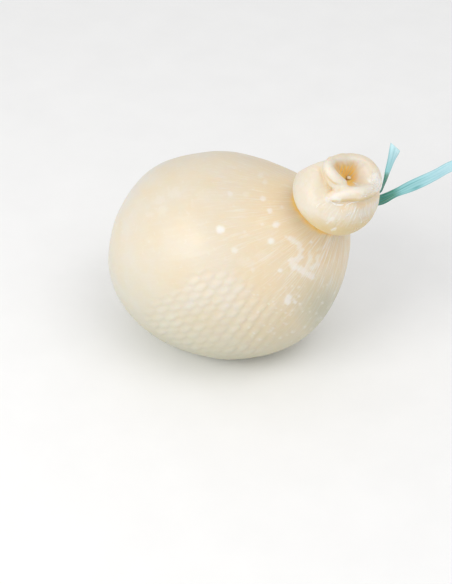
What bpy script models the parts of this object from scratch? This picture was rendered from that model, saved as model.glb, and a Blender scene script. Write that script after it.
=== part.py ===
"""Caciocavallo: a whole pear-shaped stretched-curd cheese, tied at the neck with a flat ribbon.

The body lies on a small flat spot with its blunt end low and its neck raised towards +X.
Above the tie sits the round head, whose gathered mouth is rolled over into a thick lip:
the lip's inner end is a free finger, its outer end fades into the head, and inside it the
curd falls into a pleated hollow. The ribbon goes round the neck, is knotted on the far side
and leaves two free ends.
The origin is the centre of the flat spot. Units are metres, +Z is up.
"""
import math

import bmesh
import bpy
import numpy as np

# ---------------------------------------------------------------- driving dimensions
# body: a curved pear, measured along its own centreline from the widest place
BODY_RADIUS = 0.0590            # half the width, level across the axis
BODY_TALLNESS = 1.08            # the section is a little taller than wide
POLE_LENGTH = 0.0700            # widest place back to the blunt end
SHOULDER_LENGTH = 0.0875        # widest place forward to the middle of the tie
BLUNT_END_POWER = 1.87          # 2 is an ellipse; less is fuller at the pole
SHOULDER_POWER = 2.35           # how long the body stays full before it narrows
SHOULDER_TAPER = 1.0            # how gently it comes down to the neck
AXIS_RISE_POLE = math.radians(21.0)
AXIS_RISE_NECK = math.radians(47.7)
# where the soft cheese has slumped out of round: place along the centreline, side that
# swells in degrees from the top toward the front, and how far it stands out of round
SWELLS = (
    (-0.030, 350.0, 0.0035),
    (-0.025, 135.0, -0.0015),
    (0.028, 160.0, 0.0015),
    (0.062, 180.0, -0.0035),
)
SWELL_REACH = 0.020
REST_SINK = 0.009              # how much of the round belly the rest spot takes off
REST_ROUNDING = 0.0016         # height over which the belly turns into the spot

# neck
NECK_RADIUS = 0.0120
NECK_HALF_LENGTH = 0.0030
GATHERS = 17                   # folds of curd drawn in under the tie
GATHER_DEPTH = 0.0005
GATHER_REACH = 0.011

# head: a ball over the neck, with its mouth tipped up and away from the body
HEAD_RADIUS = 0.0242
HEAD_OFFSET = (0.0011, -0.0068, 0.0152)            # from the middle of the tie
BELT_LATITUDE = math.radians(-20.0)                # where the underside joins the ball
ARCH_END = math.radians(54.0)                      # how far the ball arches over to the lip
MOUTH_DIRECTION = (0.483, -0.095, 0.871)
MOUTH_ZERO = math.radians(204.2)                   # where the mouth's own angles start
# places on the head are given across, over and along the mouth direction
FLAT_DIRECTION = (-0.620, 0.740, 0.260)            # the side that is pressed flatter
FLAT_CUT = 0.25
FLAT_SPREAD = 0.235                                # one less the cosine of its half angle
HOLLOW_FLOOR = (0.0022, 0.0040, 0.0078)
ROLL_END_BACK = math.radians(116.0)                # where the hollow's wall leaves the roll
ROLL_END_FRONT = math.radians(176.0)               # in front, where the roll overhangs it
PLEATS = 17
PLEAT_DEPTH = 0.0014

# the rolled lip, one row a station: angle round the mouth in degrees, distance of the
# roll's middle from the mouth axis, its height along that axis, and the roll's radius
LIP = (
    (-112.0, 0.0134, 0.0166, 0.0034),
    (-97.0, 0.0144, 0.0185, 0.0036),
    (-85.0, 0.0147, 0.0195, 0.0039),
    (-58.0, 0.0133, 0.0196, 0.0038),
    (-35.0, 0.0138, 0.0195, 0.0034),
    (-12.0, 0.0136, 0.0192, 0.0037),
    (13.0, 0.0128, 0.0186, 0.0045),
    (37.0, 0.0120, 0.0181, 0.0049),
    (58.0, 0.0108, 0.0179, 0.0049),
    (84.0, 0.0095, 0.0176, 0.0043),
    (120.0, 0.0094, 0.0173, 0.0038),
    (155.0, 0.0116, 0.0183, 0.0032),
    (174.0, 0.0140, 0.0181, 0.0031),
    (191.0, 0.0139, 0.0167, 0.0034),
    (208.0, 0.0131, 0.0157, 0.0036),
    (226.0, 0.0123, 0.0153, 0.0036),
)
# the two loose ends of the roll: places across, over and along, each with its radius
FINGER = (
    ((-0.0134, 0.0032, 0.0189), 0.0027),
    ((-0.0158, -0.0026, 0.0196), 0.0029),
    ((-0.0136, -0.0067, 0.0196), 0.0029),
    ((-0.0101, -0.0086, 0.0190), 0.0028),
    ((-0.0068, -0.0092, 0.0182), 0.0026),
)
FRONT_TAIL = (
    ((0.0069, -0.0113, 0.0196), 0.0036),
    ((0.0014, -0.0142, 0.0194), 0.0038),
    ((-0.0020, -0.0149, 0.0183), 0.0037),
    ((-0.0060, -0.0154, 0.0158), 0.0034),
    ((-0.0088, -0.0147, 0.0126), 0.0031),
    ((-0.0106, -0.0136, 0.0092), 0.0028),
)

# the tie round the neck
TIE_GAP = 0.0006               # between the ribbon and the curd
TIE_TURNS = 3
TIE_WIDTH = 0.0034
TIE_THICKNESS = 0.0015
TURN_OVERLAP = 1.12            # neighbouring turns press into each other
KNOT_ANGLE = math.radians(235.0)
KNOT_REACH = 0.0176            # of the knot's middle, from the neck's axis
KNOT_SIZE = (0.0030, 0.0042, 0.0036)               # outward, round the neck, along it

# the ribbon's two free ends: places from the knot's middle along +X, +Y and +Z, each
# with the angle in degrees by which the ribbon is turned off its flat side
RIBBON_WIDTH = 0.0066
RIBBON_THICKNESS = 0.0004
RIBBON_FOLD = 0.0007           # height of the crease that runs along the ribbon
RIBBON_FLAT_SIDE = (0.237, -0.728, 0.643)
RIBBON_PINCH = 0.38            # share of its width left where it comes out of the knot
RIBBON_SPREAD = 0.011          # length in which it opens to its full width
RIBBON_SLANT = 0.0036          # how much longer one edge is where the ribbon is cut
RIBBON_STATIONS = 26
SHORT_END = (
    ((0.0022, 0.0022, 0.0034), 80.0),
    ((0.0080, 0.0060, 0.0056), 82.0),
    ((0.0128, 0.0086, 0.0058), 78.0),
    ((0.0142, 0.0121, 0.0104), 68.0),
    ((0.0148, 0.0163, 0.0158), 55.0),
    ((0.0157, 0.0201, 0.0220), 40.0),
    ((0.0165, 0.0231, 0.0284), 6.0),
)
LONG_END = (
    ((0.0035, 0.0014, 0.0002), 30.0),
    ((0.0090, 0.0045, 0.0016), 30.0),
    ((0.0142, 0.0072, 0.0017), 28.0),
    ((0.0218, 0.0125, 0.0049), 40.0),
    ((0.0315, 0.0210, 0.0077), 6.0),
    ((0.0398, 0.0300, 0.0092), 22.0),
    ((0.0470, 0.0385, 0.0110), 24.0),
    ((0.0590, 0.0500, 0.0122), 24.0),
)

# how finely the curd is made
AROUND = 160
CURD_GRAIN = 0.0009            # size of the cubes that the curd is fused from
CURD_SMOOTHING = 5
CURD_TRIANGLES = 10800
TIE_GRAIN = 0.0004
TIE_TRIANGLES = 1100


# ---------------------------------------------------------------- small helpers
def smooth(t):
    t = np.clip(t, 0.0, 1.0)
    return t * t * (3.0 - 2.0 * t)


def unit(v):
    v = np.asarray(v, float)
    return v / np.linalg.norm(v)


def clear_scene():
    for obj in list(bpy.data.objects):
        bpy.data.objects.remove(obj, do_unlink=True)


def material(name, colour, roughness, alpha=1.0):
    mat = bpy.data.materials.new(name)
    mat.use_nodes = True
    shader = mat.node_tree.nodes["Principled BSDF"]
    shader.inputs["Base Color"].default_value = (*colour, 1.0)
    shader.inputs["Roughness"].default_value = roughness
    shader.inputs["Metallic"].default_value = 0.0
    shader.inputs["Alpha"].default_value = alpha
    mat.diffuse_color = (*colour, alpha)
    return mat


def skin(rings):
    """Corners and faces of one closed body: a stack of equal rings with a fan at each end."""
    rings = np.asarray(rings)
    layers, count, _ = rings.shape
    ends = rings[[0, -1]].mean(axis=1)
    corners = np.vstack([rings.reshape(-1, 3), ends])
    start = layers * count
    faces = []
    for j in range(count):
        k = (j + 1) % count
        faces.append((start, k, j))
        for a in range(0, start - count, count):
            faces.append((a + j, a + k, a + count + k, a + count + j))
        faces.append((start - count + j, start - count + k, start + 1))
    return corners, faces


def mesh_object(name, bodies, mat):
    """One object from several bodies, each with its faces turned outward."""
    mesh = bpy.data.meshes.new(name)
    corners = []
    faces = []
    for body_corners, body_faces in bodies:
        first = len(corners)
        corners += [tuple(c) for c in body_corners]
        faces += [tuple(first + i for i in face) for face in body_faces]
    mesh.from_pydata(corners, [], faces)
    bm = bmesh.new()
    bm.from_mesh(mesh)
    bmesh.ops.recalc_face_normals(bm, faces=bm.faces)
    bm.to_mesh(mesh)
    bm.free()
    mesh.materials.append(mat)
    obj = bpy.data.objects.new(name, mesh)
    bpy.context.collection.objects.link(obj)
    return obj


def apply_modifiers(obj):
    graph = bpy.context.evaluated_depsgraph_get()
    baked = bpy.data.meshes.new_from_object(obj.evaluated_get(graph))
    obj.modifiers.clear()
    obj.data = baked


def fuse(obj, grain, smoothing):
    """Melt the object's overlapping bodies into one and soften where they meet."""
    remesh = obj.modifiers.new("fuse", "REMESH")
    remesh.mode = "VOXEL"
    remesh.voxel_size = grain
    soften = obj.modifiers.new("soften", "SMOOTH")
    soften.factor = 0.5
    soften.iterations = smoothing
    apply_modifiers(obj)


def thin_out(obj, triangles):
    """Keep about this many triangles, most of them where the surface bends."""
    obj.data.calc_loop_triangles()
    decimate = obj.modifiers.new("thin out", "DECIMATE")
    decimate.ratio = triangles / len(obj.data.loop_triangles)
    decimate.use_collapse_triangulate = True
    apply_modifiers(obj)


def tube(places, radii, sides=20, cap=5):
    """A closed round tube through the places, with a round cap at each end."""
    places = np.asarray(places)
    radii = np.asarray(radii)
    tangents = np.gradient(places, axis=0)
    tangents /= np.linalg.norm(tangents, axis=1)[:, None]
    side = np.cross(tangents, tangents[len(tangents) // 2] + np.array([0.31, 0.17, 0.93]))
    side /= np.linalg.norm(side, axis=1)[:, None]
    other = np.cross(tangents, side)
    turn = np.linspace(0.0, 2.0 * math.pi, sides, endpoint=False)
    rings = []

    def ring(i, ahead, radius):
        middle = places[i] + ahead * tangents[i]
        rings.append(middle + radius * (np.cos(turn)[:, None] * side[i]
                                        + np.sin(turn)[:, None] * other[i]))

    for swing in np.linspace(0.5 * math.pi, 0.0, cap, endpoint=False):
        ring(0, -radii[0] * math.sin(swing), radii[0] * math.cos(swing) + 1e-5)
    for i in range(len(places)):
        ring(i, 0.0, radii[i])
    for swing in np.linspace(0.0, 0.5 * math.pi, cap + 1)[1:]:
        ring(-1, radii[-1] * math.sin(swing), radii[-1] * math.cos(swing) + 1e-5)
    return skin(rings)


def through(values, count):
    """A smooth run of rows through the given rows, evenly spaced along the way."""
    values = np.asarray(values, float)
    steps = np.arange(len(values))
    slope = np.gradient(values, axis=0)
    fine = np.linspace(0.0, len(values) - 1.0, 40 * len(values))
    index = np.minimum(fine.astype(int), len(values) - 2)
    t = (fine - steps[index])[:, None]
    run = (values[index] * (1 + 2 * t) * (1 - t) ** 2 + slope[index] * t * (1 - t) ** 2
           + values[index + 1] * t * t * (3 - 2 * t) - slope[index + 1] * t * t * (1 - t))
    length = np.linalg.norm(np.diff(run[:, :3], axis=0), axis=1)
    reach = np.concatenate([[0.0], np.cumsum(length)])
    even = np.linspace(0.0, reach[-1], count)
    return np.stack([np.interp(even, reach, column) for column in run.T], axis=1)


# ---------------------------------------------------------------- body
def body_profile(x):
    """Radius of the pear at the distance x along its centreline."""
    back = np.clip(-x / POLE_LENGTH, 0.0, 1.0)
    blunt = BODY_RADIUS * np.clip(1.0 - back ** BLUNT_END_POWER, 0.0, 1.0) ** (1.0 / BLUNT_END_POWER)
    ahead = np.clip(x / (SHOULDER_LENGTH - NECK_HALF_LENGTH), 0.0, 1.0)
    fall = np.clip(1.0 - ahead ** SHOULDER_POWER, 0.0, 1.0) ** SHOULDER_TAPER
    return np.where(x < 0.0, blunt, NECK_RADIUS + (BODY_RADIUS - NECK_RADIUS) * fall)


def centreline(x):
    """Places and rise angles of the curved body axis, widest place at the zero."""
    fine = np.linspace(-POLE_LENGTH, SHOULDER_LENGTH, 1200)
    bend_start = -0.3 * POLE_LENGTH
    turn = smooth((fine - bend_start) / (SHOULDER_LENGTH - bend_start))
    rise = AXIS_RISE_POLE + (AXIS_RISE_NECK - AXIS_RISE_POLE) * turn
    step = np.diff(fine)
    level = 0.5 * (np.cos(rise[1:]) + np.cos(rise[:-1])) * step
    climb = 0.5 * (np.sin(rise[1:]) + np.sin(rise[:-1])) * step
    along = np.concatenate([[0.0], np.cumsum(level)])
    up = np.concatenate([[0.0], np.cumsum(climb)])
    along -= np.interp(0.0, fine, along)
    up -= np.interp(0.0, fine, up)
    places = np.stack([np.interp(x, fine, along), np.zeros(len(x)), np.interp(x, fine, up)], axis=-1)
    return places, np.interp(x, fine, rise)


def gather_wave(angles):
    """Uneven round folds with sharp valleys between them, from -1 to 1."""
    wander = 0.35 * np.sin(2.0 * angles + 0.7) + 0.22 * np.sin(5.0 * angles + 2.1)
    return 2.0 * np.abs(np.sin(0.5 * GATHERS * angles + wander)) - 1.0


def sag(x, angles):
    """How far the body is out of round, as a share of its radius."""
    share = np.zeros((len(x), len(angles)))
    for place, side, height in SWELLS:
        along = np.exp(-((x - place) / SWELL_REACH) ** 2)
        around = np.clip(np.cos(angles - math.radians(side)), 0.0, 1.0) ** 2
        share += along[:, None] * around[None] * height / BODY_RADIUS
    return share * smooth((SHOULDER_LENGTH - 0.004 - x) / 0.020)[:, None]


def body_rings(x, angles):
    """Rings of the pear across its centreline, with the gathers near the tie."""
    places, rise = centreline(x)
    radius = body_profile(x)
    drawn = smooth(1.0 - (SHOULDER_LENGTH - NECK_HALF_LENGTH - x) / GATHER_REACH)
    tall = 1.0 + (BODY_TALLNESS - 1.0) * smooth((radius - NECK_RADIUS) / (0.5 * BODY_RADIUS))
    across = np.array([0.0, -1.0, 0.0])
    slump = sag(x, angles)
    rings = []
    for i in range(len(x)):
        upward = np.array([-math.sin(rise[i]), 0.0, math.cos(rise[i])])
        reach = radius[i] * (1.0 + slump[i]) + gather_wave(angles) * GATHER_DEPTH * drawn[i]
        out = tall[i] * np.cos(angles)[:, None] * upward + np.sin(angles)[:, None] * across
        rings.append(places[i] + reach[:, None] * out)
    return rings


def rest_shift():
    """How far the pear moves so that its flat spot is centred on the origin."""
    x = np.linspace(-POLE_LENGTH, SHOULDER_LENGTH, 240)
    low = np.array(body_rings(x, np.array([math.pi])))[:, 0]
    lowest = low[:, 2].min()
    sunk = low[low[:, 2] < lowest + REST_SINK, 0]
    return np.array([-0.5 * (sunk.min() + sunk.max()), 0.0, -lowest - REST_SINK])


def settle(points):
    """Flatten the belly where the cheese rests."""
    z = points[:, 2]
    soft = (z + REST_ROUNDING) ** 2 / (4.0 * REST_ROUNDING)
    points[:, 2] = np.where(z < -REST_ROUNDING, 0.0, np.where(z < REST_ROUNDING, soft, z))
    return points


# ---------------------------------------------------------------- neck
def neck_directions():
    """Along the neck, up from it, and across it towards the front."""
    along = np.array([math.cos(AXIS_RISE_NECK), 0.0, math.sin(AXIS_RISE_NECK)])
    upward = np.array([-math.sin(AXIS_RISE_NECK), 0.0, math.cos(AXIS_RISE_NECK)])
    return along, upward, np.array([0.0, -1.0, 0.0])


def middle_of_tie():
    place, _ = centreline(np.array([SHOULDER_LENGTH]))
    return place[0] + rest_shift()


def knot_middle():
    _, upward, across = neck_directions()
    return middle_of_tie() + KNOT_REACH * (math.cos(KNOT_ANGLE) * upward + math.sin(KNOT_ANGLE) * across)


# ---------------------------------------------------------------- head
def head_frame():
    """Centre of the head, the mouth's two cross directions and its axis."""
    _, upward, _ = neck_directions()
    axis = unit(MOUTH_DIRECTION)
    first = unit(upward - axis * (upward @ axis))
    second = np.cross(axis, first)
    across = math.cos(MOUTH_ZERO) * first + math.sin(MOUTH_ZERO) * second
    over = -math.sin(MOUTH_ZERO) * first + math.cos(MOUTH_ZERO) * second
    return middle_of_tie() + np.array(HEAD_OFFSET), across, over, axis


def on_head(place):
    centre, across, over, axis = head_frame()
    return centre + place[0] * across + place[1] * over + place[2] * axis


def lip_at(mouth_angle):
    """Distance, height and radius of the rolled lip at angles round the mouth."""
    table = np.array(LIP)
    stations = np.radians(table[:, 0])
    count = len(stations)
    wrapped = np.concatenate([stations - 2 * math.pi, stations, stations + 2 * math.pi])
    turned = np.mod(mouth_angle - stations[0], 2 * math.pi) + stations[0]
    index = np.clip(np.searchsorted(wrapped, turned) - 1, count - 1, 2 * count)
    width = wrapped[index + 1] - wrapped[index]
    t = (turned - wrapped[index]) / width
    values = []
    for column in (1, 2, 3):
        row = np.tile(table[:, column], 3)
        slope = np.gradient(row, wrapped)
        values.append(
            row[index] * (1 + 2 * t) * (1 - t) ** 2 + slope[index] * width * t * (1 - t) ** 2
            + row[index + 1] * t * t * (3 - 2 * t) - slope[index + 1] * width * t * t * (1 - t))
    return values


def pleat_wave(mouth_angle):
    """Pleats of the hollow: round ridges, sharp valleys, faint on the broad right side."""
    wander = 0.8 * np.sin(mouth_angle * 2.0 + 0.4) + 0.5 * np.sin(mouth_angle * 3.0 + 1.9)
    fold = np.abs(np.sin(0.5 * PLEATS * mouth_angle + wander)) ** 0.6
    uneven = 0.75 + 0.25 * np.sin(mouth_angle * 5.0 + 1.0)
    strength = 0.12 + 0.88 * smooth(0.75 - 0.9 * np.cos(mouth_angle + math.radians(45.0)))
    return (fold - 0.72) * strength * uneven


def press_flat(points, centre, across, over, axis):
    """Draw the surface in towards the head's centre on its flatter side."""
    flat = FLAT_DIRECTION[0] * across + FLAT_DIRECTION[1] * over + FLAT_DIRECTION[2] * axis
    out = points - centre
    nearness = out @ unit(flat) / np.linalg.norm(out, axis=1)
    cut = FLAT_CUT * smooth((nearness - 1.0 + FLAT_SPREAD) / FLAT_SPREAD)
    return centre + out * (1.0 - cut)[:, None]


def head_rings(angles, under, ball, roll, hollow):
    """Rings from the neck over the ball, round the rolled lip and down the hollow."""
    centre, across, over, axis = head_frame()
    neck_axis, neck_up, neck_across = neck_directions()
    neck_out = np.cos(angles)[:, None] * neck_up + np.sin(angles)[:, None] * neck_across
    mouth_angle = angles - MOUTH_ZERO
    out = np.cos(mouth_angle)[:, None] * across + np.sin(mouth_angle)[:, None] * over
    distance, height, radius = lip_at(mouth_angle)

    # the underside: a smooth sheet from the neck out to the ball
    ridges = gather_wave(angles + 0.12)
    reach = NECK_RADIUS + ridges * GATHER_DEPTH
    start = middle_of_tie() + neck_axis * NECK_HALF_LENGTH + reach[:, None] * neck_out
    belt_reach = HEAD_RADIUS * math.cos(BELT_LATITUDE)
    belt = centre + axis * HEAD_RADIUS * math.sin(BELT_LATITUDE) + belt_reach * out
    span = np.linalg.norm(belt - start, axis=1)[:, None]
    leave = (0.92 * neck_out + 0.40 * neck_axis) * span * 1.15
    arrive = (-math.sin(BELT_LATITUDE) * out + math.cos(BELT_LATITUDE) * axis) * span * 1.25
    rings = [start]
    for t in np.linspace(0.0, 1.0, under + 1)[1:] ** 1.2:
        sheet = (start * (1 + 2 * t) * (1 - t) ** 2 + leave * t * (1 - t) ** 2
                 + belt * t * t * (3 - 2 * t) - arrive * t * t * (1 - t))
        fold = ridges * GATHER_DEPTH * t * (1.0 - t) ** 2
        sheet = sheet + fold[:, None] * neck_out
        rings.append(press_flat(sheet, centre, across, over, axis))

    # the ball: round up to its middle, then arching in to the crease under the lip
    for turn in np.linspace(BELT_LATITUDE, 0.0, 5)[1:]:
        ring = centre + HEAD_RADIUS * (math.sin(turn) * axis + math.cos(turn) * out)
        rings.append(press_flat(ring, centre, across, over, axis))
    front = 0.5 - 0.5 * np.sin(mouth_angle)
    start_turn = np.radians(-20.0 - 37.0 * smooth(front))
    crease = distance + radius * np.cos(start_turn)
    rise = height + radius * np.sin(start_turn)
    for turn in np.linspace(0.0, ARCH_END, ball + 1)[1:]:
        inward = (1.0 - math.cos(turn)) / (1.0 - math.cos(ARCH_END))
        away = HEAD_RADIUS + (crease - HEAD_RADIUS) * inward
        up = rise * math.sin(turn) / math.sin(ARCH_END)
        ring = centre + up[:, None] * axis + away[:, None] * out
        rings.append(press_flat(ring, centre, across, over, axis))

    # the roll: part of a circle round its own middle, outer side to inner side
    overhang = smooth(0.5 - 0.5 * np.sin(mouth_angle + 0.35))
    end_turn = ROLL_END_BACK + (ROLL_END_FRONT - ROLL_END_BACK) * overhang
    for t in np.linspace(0.0, 1.0, roll + 1)[1:]:
        turn = start_turn + (end_turn - start_turn) * t
        up = height + radius * np.sin(turn)
        away = distance + radius * np.cos(turn)
        rings.append(centre + up[:, None] * axis + away[:, None] * out)

    # the hollow: each wall leaves the roll smoothly and falls ever more steeply to the floor
    rim = rings[-1]
    floor = on_head(HOLLOW_FLOOR)
    depth = (rim - floor) @ axis
    flat = rim - floor - depth[:, None] * axis
    reach = np.linalg.norm(flat, axis=1)
    broad = 1.0 + 0.8 * smooth(np.cos(mouth_angle - 0.2))
    leave = np.cos(end_turn)[:, None] * axis - np.sin(end_turn)[:, None] * out
    leave = leave * (broad * reach)[:, None]
    arrive = -0.9 * depth[:, None] * axis - 0.5 * flat
    pleats = pleat_wave(mouth_angle)
    for t in np.linspace(0.0, 1.0, hollow + 2)[1:-1]:
        wall = (rim * (1 + 2 * t) * (1 - t) ** 2 + leave * t * (1 - t) ** 2
                + floor * t * t * (3 - 2 * t) - arrive * t * t * (1 - t))
        fold = PLEAT_DEPTH * math.sin(math.pi * min(1.0, 1.05 * t + 0.02)) ** 0.7
        rings.append(wall + (pleats * fold)[:, None] * (0.8 * axis - 0.6 * out))
    return rings


def loose_end(stations):
    """One loose end of the rolled lip, as a round tube that overlaps the head."""
    rows = [(*on_head(place), girth) for place, girth in stations]
    run = through(rows, 30)
    return tube(run[:, :3], run[:, 3])


# ---------------------------------------------------------------- the whole cheese
def cheese_bodies(around):
    angles = np.linspace(0.0, 2.0 * math.pi, around, endpoint=False)
    swing = np.linspace(0.0, 0.5 * math.pi, 41)[1:]
    back = -POLE_LENGTH * np.cos(swing)
    ahead = (SHOULDER_LENGTH - NECK_HALF_LENGTH) * np.sin(swing) ** 0.85
    body = np.array(body_rings(np.concatenate([back, ahead]), angles)) + rest_shift()
    rings = list(body) + head_rings(angles, 24, 30, 20, 24)
    return [skin(rings), loose_end(FINGER), loose_end(FRONT_TAIL)]


def make_cheese(mat):
    obj = mesh_object("cheese", cheese_bodies(AROUND), mat)
    fuse(obj, CURD_GRAIN, CURD_SMOOTHING)
    points = np.array([v.co for v in obj.data.vertices])
    points = settle(points)
    obj.data.vertices.foreach_set("co", points.ravel())
    thin_out(obj, CURD_TRIANGLES)
    obj.data.shade_smooth()
    return obj


# ---------------------------------------------------------------- ribbon
def make_tie(mat):
    """The turns of ribbon drawn tight round the neck, with the knot they end in."""
    middle = middle_of_tie()
    along, _, _ = neck_directions()
    turn_width = TIE_WIDTH / TIE_TURNS
    reach = NECK_RADIUS + GATHER_DEPTH + TIE_GAP + 0.5 * TIE_THICKNESS
    bodies = []
    for i in range(TIE_TURNS):
        offset = (i - 0.5 * (TIE_TURNS - 1)) * turn_width
        bodies.append(hoop(middle + offset * along, reach, TURN_OVERLAP * 0.5 * turn_width))
    knot = knot_middle()
    out = unit(knot - middle)
    bodies.append(ball(knot, out, np.cross(along, out), along, KNOT_SIZE))
    obj = mesh_object("neck_tie", bodies, mat)
    fuse(obj, TIE_GRAIN, 2)
    thin_out(obj, TIE_TRIANGLES)
    obj.data.shade_smooth()
    return obj


def hoop(middle, reach, half_width, around=96, sides=12):
    """One turn of the tie: a closed hoop round the neck with an oval section."""
    along, upward, across = neck_directions()
    corners = []
    faces = []
    for i in range(around):
        angle = 2.0 * math.pi * i / around
        out = math.cos(angle) * upward + math.sin(angle) * across
        for j in range(sides):
            turn = 2.0 * math.pi * j / sides
            away = reach + 0.5 * TIE_THICKNESS * math.cos(turn)
            corners.append(middle + away * out + half_width * math.sin(turn) * along)
            k = (j + 1) % sides
            after = (i + 1) % around * sides
            faces.append((i * sides + j, i * sides + k, after + k, after + j))
    return corners, faces


def ball(middle, first, second, third, size):
    """A closed egg shape with its three half sizes along the three directions."""
    turn = np.linspace(0.0, 2.0 * math.pi, 24, endpoint=False)
    rings = []
    for swing in np.linspace(-0.5 * math.pi, 0.5 * math.pi, 14)[1:-1]:
        flat = size[0] * np.cos(turn)[:, None] * first + size[1] * np.sin(turn)[:, None] * second
        rings.append(middle + math.cos(swing) * flat + size[2] * math.sin(swing) * third)
    return skin(rings)


def ribbon_run(stations, count):
    """Middles, width directions and face directions along a free end of the ribbon."""
    knot = knot_middle()
    rows = [(*(knot + np.array(place)), math.radians(turned)) for place, turned in stations]
    run = through(rows, count)
    places = run[:, :3]
    tangents = np.gradient(places, axis=0)
    tangents /= np.linalg.norm(tangents, axis=1)[:, None]
    broad = np.cross(tangents, unit(RIBBON_FLAT_SIDE))
    broad /= np.linalg.norm(broad, axis=1)[:, None]
    deep = np.cross(tangents, broad)
    turned = run[:, 3][:, None]
    wide = np.cos(turned) * broad + np.sin(turned) * deep
    return places, wide, np.cross(wide, tangents)


def make_ribbon_end(name, stations, mat):
    """A free end as a thin closed strip with a shallow crease along its middle."""
    places, wide, face = ribbon_run(stations, RIBBON_STATIONS)
    length = np.linalg.norm(np.diff(places, axis=0), axis=1).sum()
    along = np.linspace(0.0, length, len(places))
    opening = RIBBON_PINCH + (1.0 - RIBBON_PINCH) * smooth(along / RIBBON_SPREAD)
    near_cut = smooth(4.0 * along / length - 3.0)
    ahead = unit(places[-1] - places[-2])
    thin = 0.5 * RIBBON_THICKNESS
    rings = []
    for i in range(len(places)):
        half = 0.5 * RIBBON_WIDTH * opening[i]
        lift = 0.5 * RIBBON_FOLD * face[i]
        slant = 0.5 * RIBBON_SLANT * near_cut[i] * ahead
        left = places[i] - half * wide[i] - lift + slant
        ridge = places[i] + lift
        right = places[i] + half * wide[i] - lift - slant
        upper = [p + thin * face[i] for p in (left, ridge, right)]
        lower = [p - thin * face[i] for p in (right, ridge, left)]
        rings.append(upper + lower)
    obj = mesh_object(name, [skin(rings)], mat)
    obj.data.shade_flat()
    return obj


def main():
    clear_scene()
    curd = material("curd", (0.87, 0.76, 0.55), 0.42)
    ribbon = material("ribbon", (0.10, 0.50, 0.47), 0.35)
    make_cheese(curd)
    make_tie(ribbon)
    make_ribbon_end("tail_short", SHORT_END, ribbon)
    make_ribbon_end("tail_long", LONG_END, ribbon)


main()
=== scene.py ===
# %% [markdown]
# # A caciocavallo on a pale table
#
# A caciocavallo is a stretched-curd cheese. A lump of hot, elastic curd is pulled smooth,
# pinched in near its end and tied there, so it cools as a fat pear with a small round head.
# The end of the curd is tucked into the head, and the tuck stays visible as a rolled mouth.
#
# This lesson dresses a plain solid of that cheese. The solid gives the size and the place of
# everything; here it gets its skin, its colour and its ribbon. All lengths are in metres.

# %% Load the plain model
import math

import bmesh
import bpy
import numpy as np
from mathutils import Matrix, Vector
from mathutils.bvhtree import BVHTree


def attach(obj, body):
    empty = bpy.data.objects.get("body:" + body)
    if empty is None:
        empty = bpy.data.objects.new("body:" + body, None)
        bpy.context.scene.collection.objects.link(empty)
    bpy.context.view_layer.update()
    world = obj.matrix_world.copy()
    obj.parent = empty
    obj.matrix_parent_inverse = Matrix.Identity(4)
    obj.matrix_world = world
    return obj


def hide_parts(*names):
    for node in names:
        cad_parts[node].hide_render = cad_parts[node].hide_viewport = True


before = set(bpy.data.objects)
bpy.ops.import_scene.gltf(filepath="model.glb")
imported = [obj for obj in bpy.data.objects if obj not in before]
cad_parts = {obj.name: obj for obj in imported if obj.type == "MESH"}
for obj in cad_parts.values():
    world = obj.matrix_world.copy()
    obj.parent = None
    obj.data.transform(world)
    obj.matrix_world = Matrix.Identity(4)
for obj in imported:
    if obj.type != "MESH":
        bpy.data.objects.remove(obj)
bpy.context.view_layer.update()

# %% [markdown]
# ## The camera
#
# The cheese is seen from a little above a table edge, 40 degrees down, and turned 18 degrees
# towards its head. A camera could be placed by hand, but four numbers say the same thing:
# what it looks at, how far away it is, how steeply it looks down and how far it is turned.
# The picture is taller than wide, so the lens is worked out from its height.

# %% Camera
PICTURE = (452, 584)
AIM = np.array([-0.0050, 0.0324, -0.0008])
DISTANCE = 0.9
ELEVATION = math.radians(40.0)
TURN = math.radians(18.0)
FOCAL_PIXELS = 1405.0
SENSOR_HEIGHT = 24.0

right = np.array([math.cos(TURN), math.sin(TURN), 0.0])
level_back = np.array([math.sin(TURN), -math.cos(TURN), 0.0])
towards = level_back * math.cos(ELEVATION) + np.array([0.0, 0.0, math.sin(ELEVATION)])
upward = np.cross(towards, right)
eye = AIM + DISTANCE * towards

camera_data = bpy.data.cameras.new("camera")
camera_data.sensor_fit = "VERTICAL"
camera_data.sensor_height = SENSOR_HEIGHT
camera_data.lens = SENSOR_HEIGHT * FOCAL_PIXELS / PICTURE[1]
camera_data.clip_start = 0.01
camera = bpy.data.objects.new("camera", camera_data)
camera.location = eye
camera.rotation_euler = Vector(-towards).to_track_quat("-Z", "Y").to_euler()
bpy.context.collection.objects.link(camera)
bpy.context.scene.camera = camera
print("lens", round(camera_data.lens, 2), "mm")


def in_picture(points):
    """Where points of the scene fall in the picture, across and down, in pixels."""
    gap = np.asarray(points) - AIM
    reach = FOCAL_PIXELS / (DISTANCE - gap @ towards)
    return PICTURE[0] / 2 + reach * (gap @ right), PICTURE[1] / 2 - reach * (gap @ upward)


def sight_line(across, down):
    """Direction from the eye through a place in the picture."""
    line = (across - PICTURE[0] / 2) * right - (down - PICTURE[1] / 2) * upward
    line = line - FOCAL_PIXELS * towards
    return line / np.linalg.norm(line)


# %% [markdown]
# ## Small tools
#
# A few helpers do most of the work below: a soft step from 0 to 1, smooth random hills,
# a smooth run through a few stations, and a way to turn stacked rings into a closed skin.
# Random hills could come from a texture, but numbers can also move points of the mesh,
# so that the unevenness is real shape and shows on the outline too.

# %% Helpers
rng = np.random.default_rng(11)
HILLS = rng.uniform(-1.0, 1.0, (32, 32, 32))


def smooth(t):
    """A soft step: 0 up to zero, 1 from one on."""
    t = np.clip(t, 0.0, 1.0)
    return t * t * (3.0 - 2.0 * t)


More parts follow.
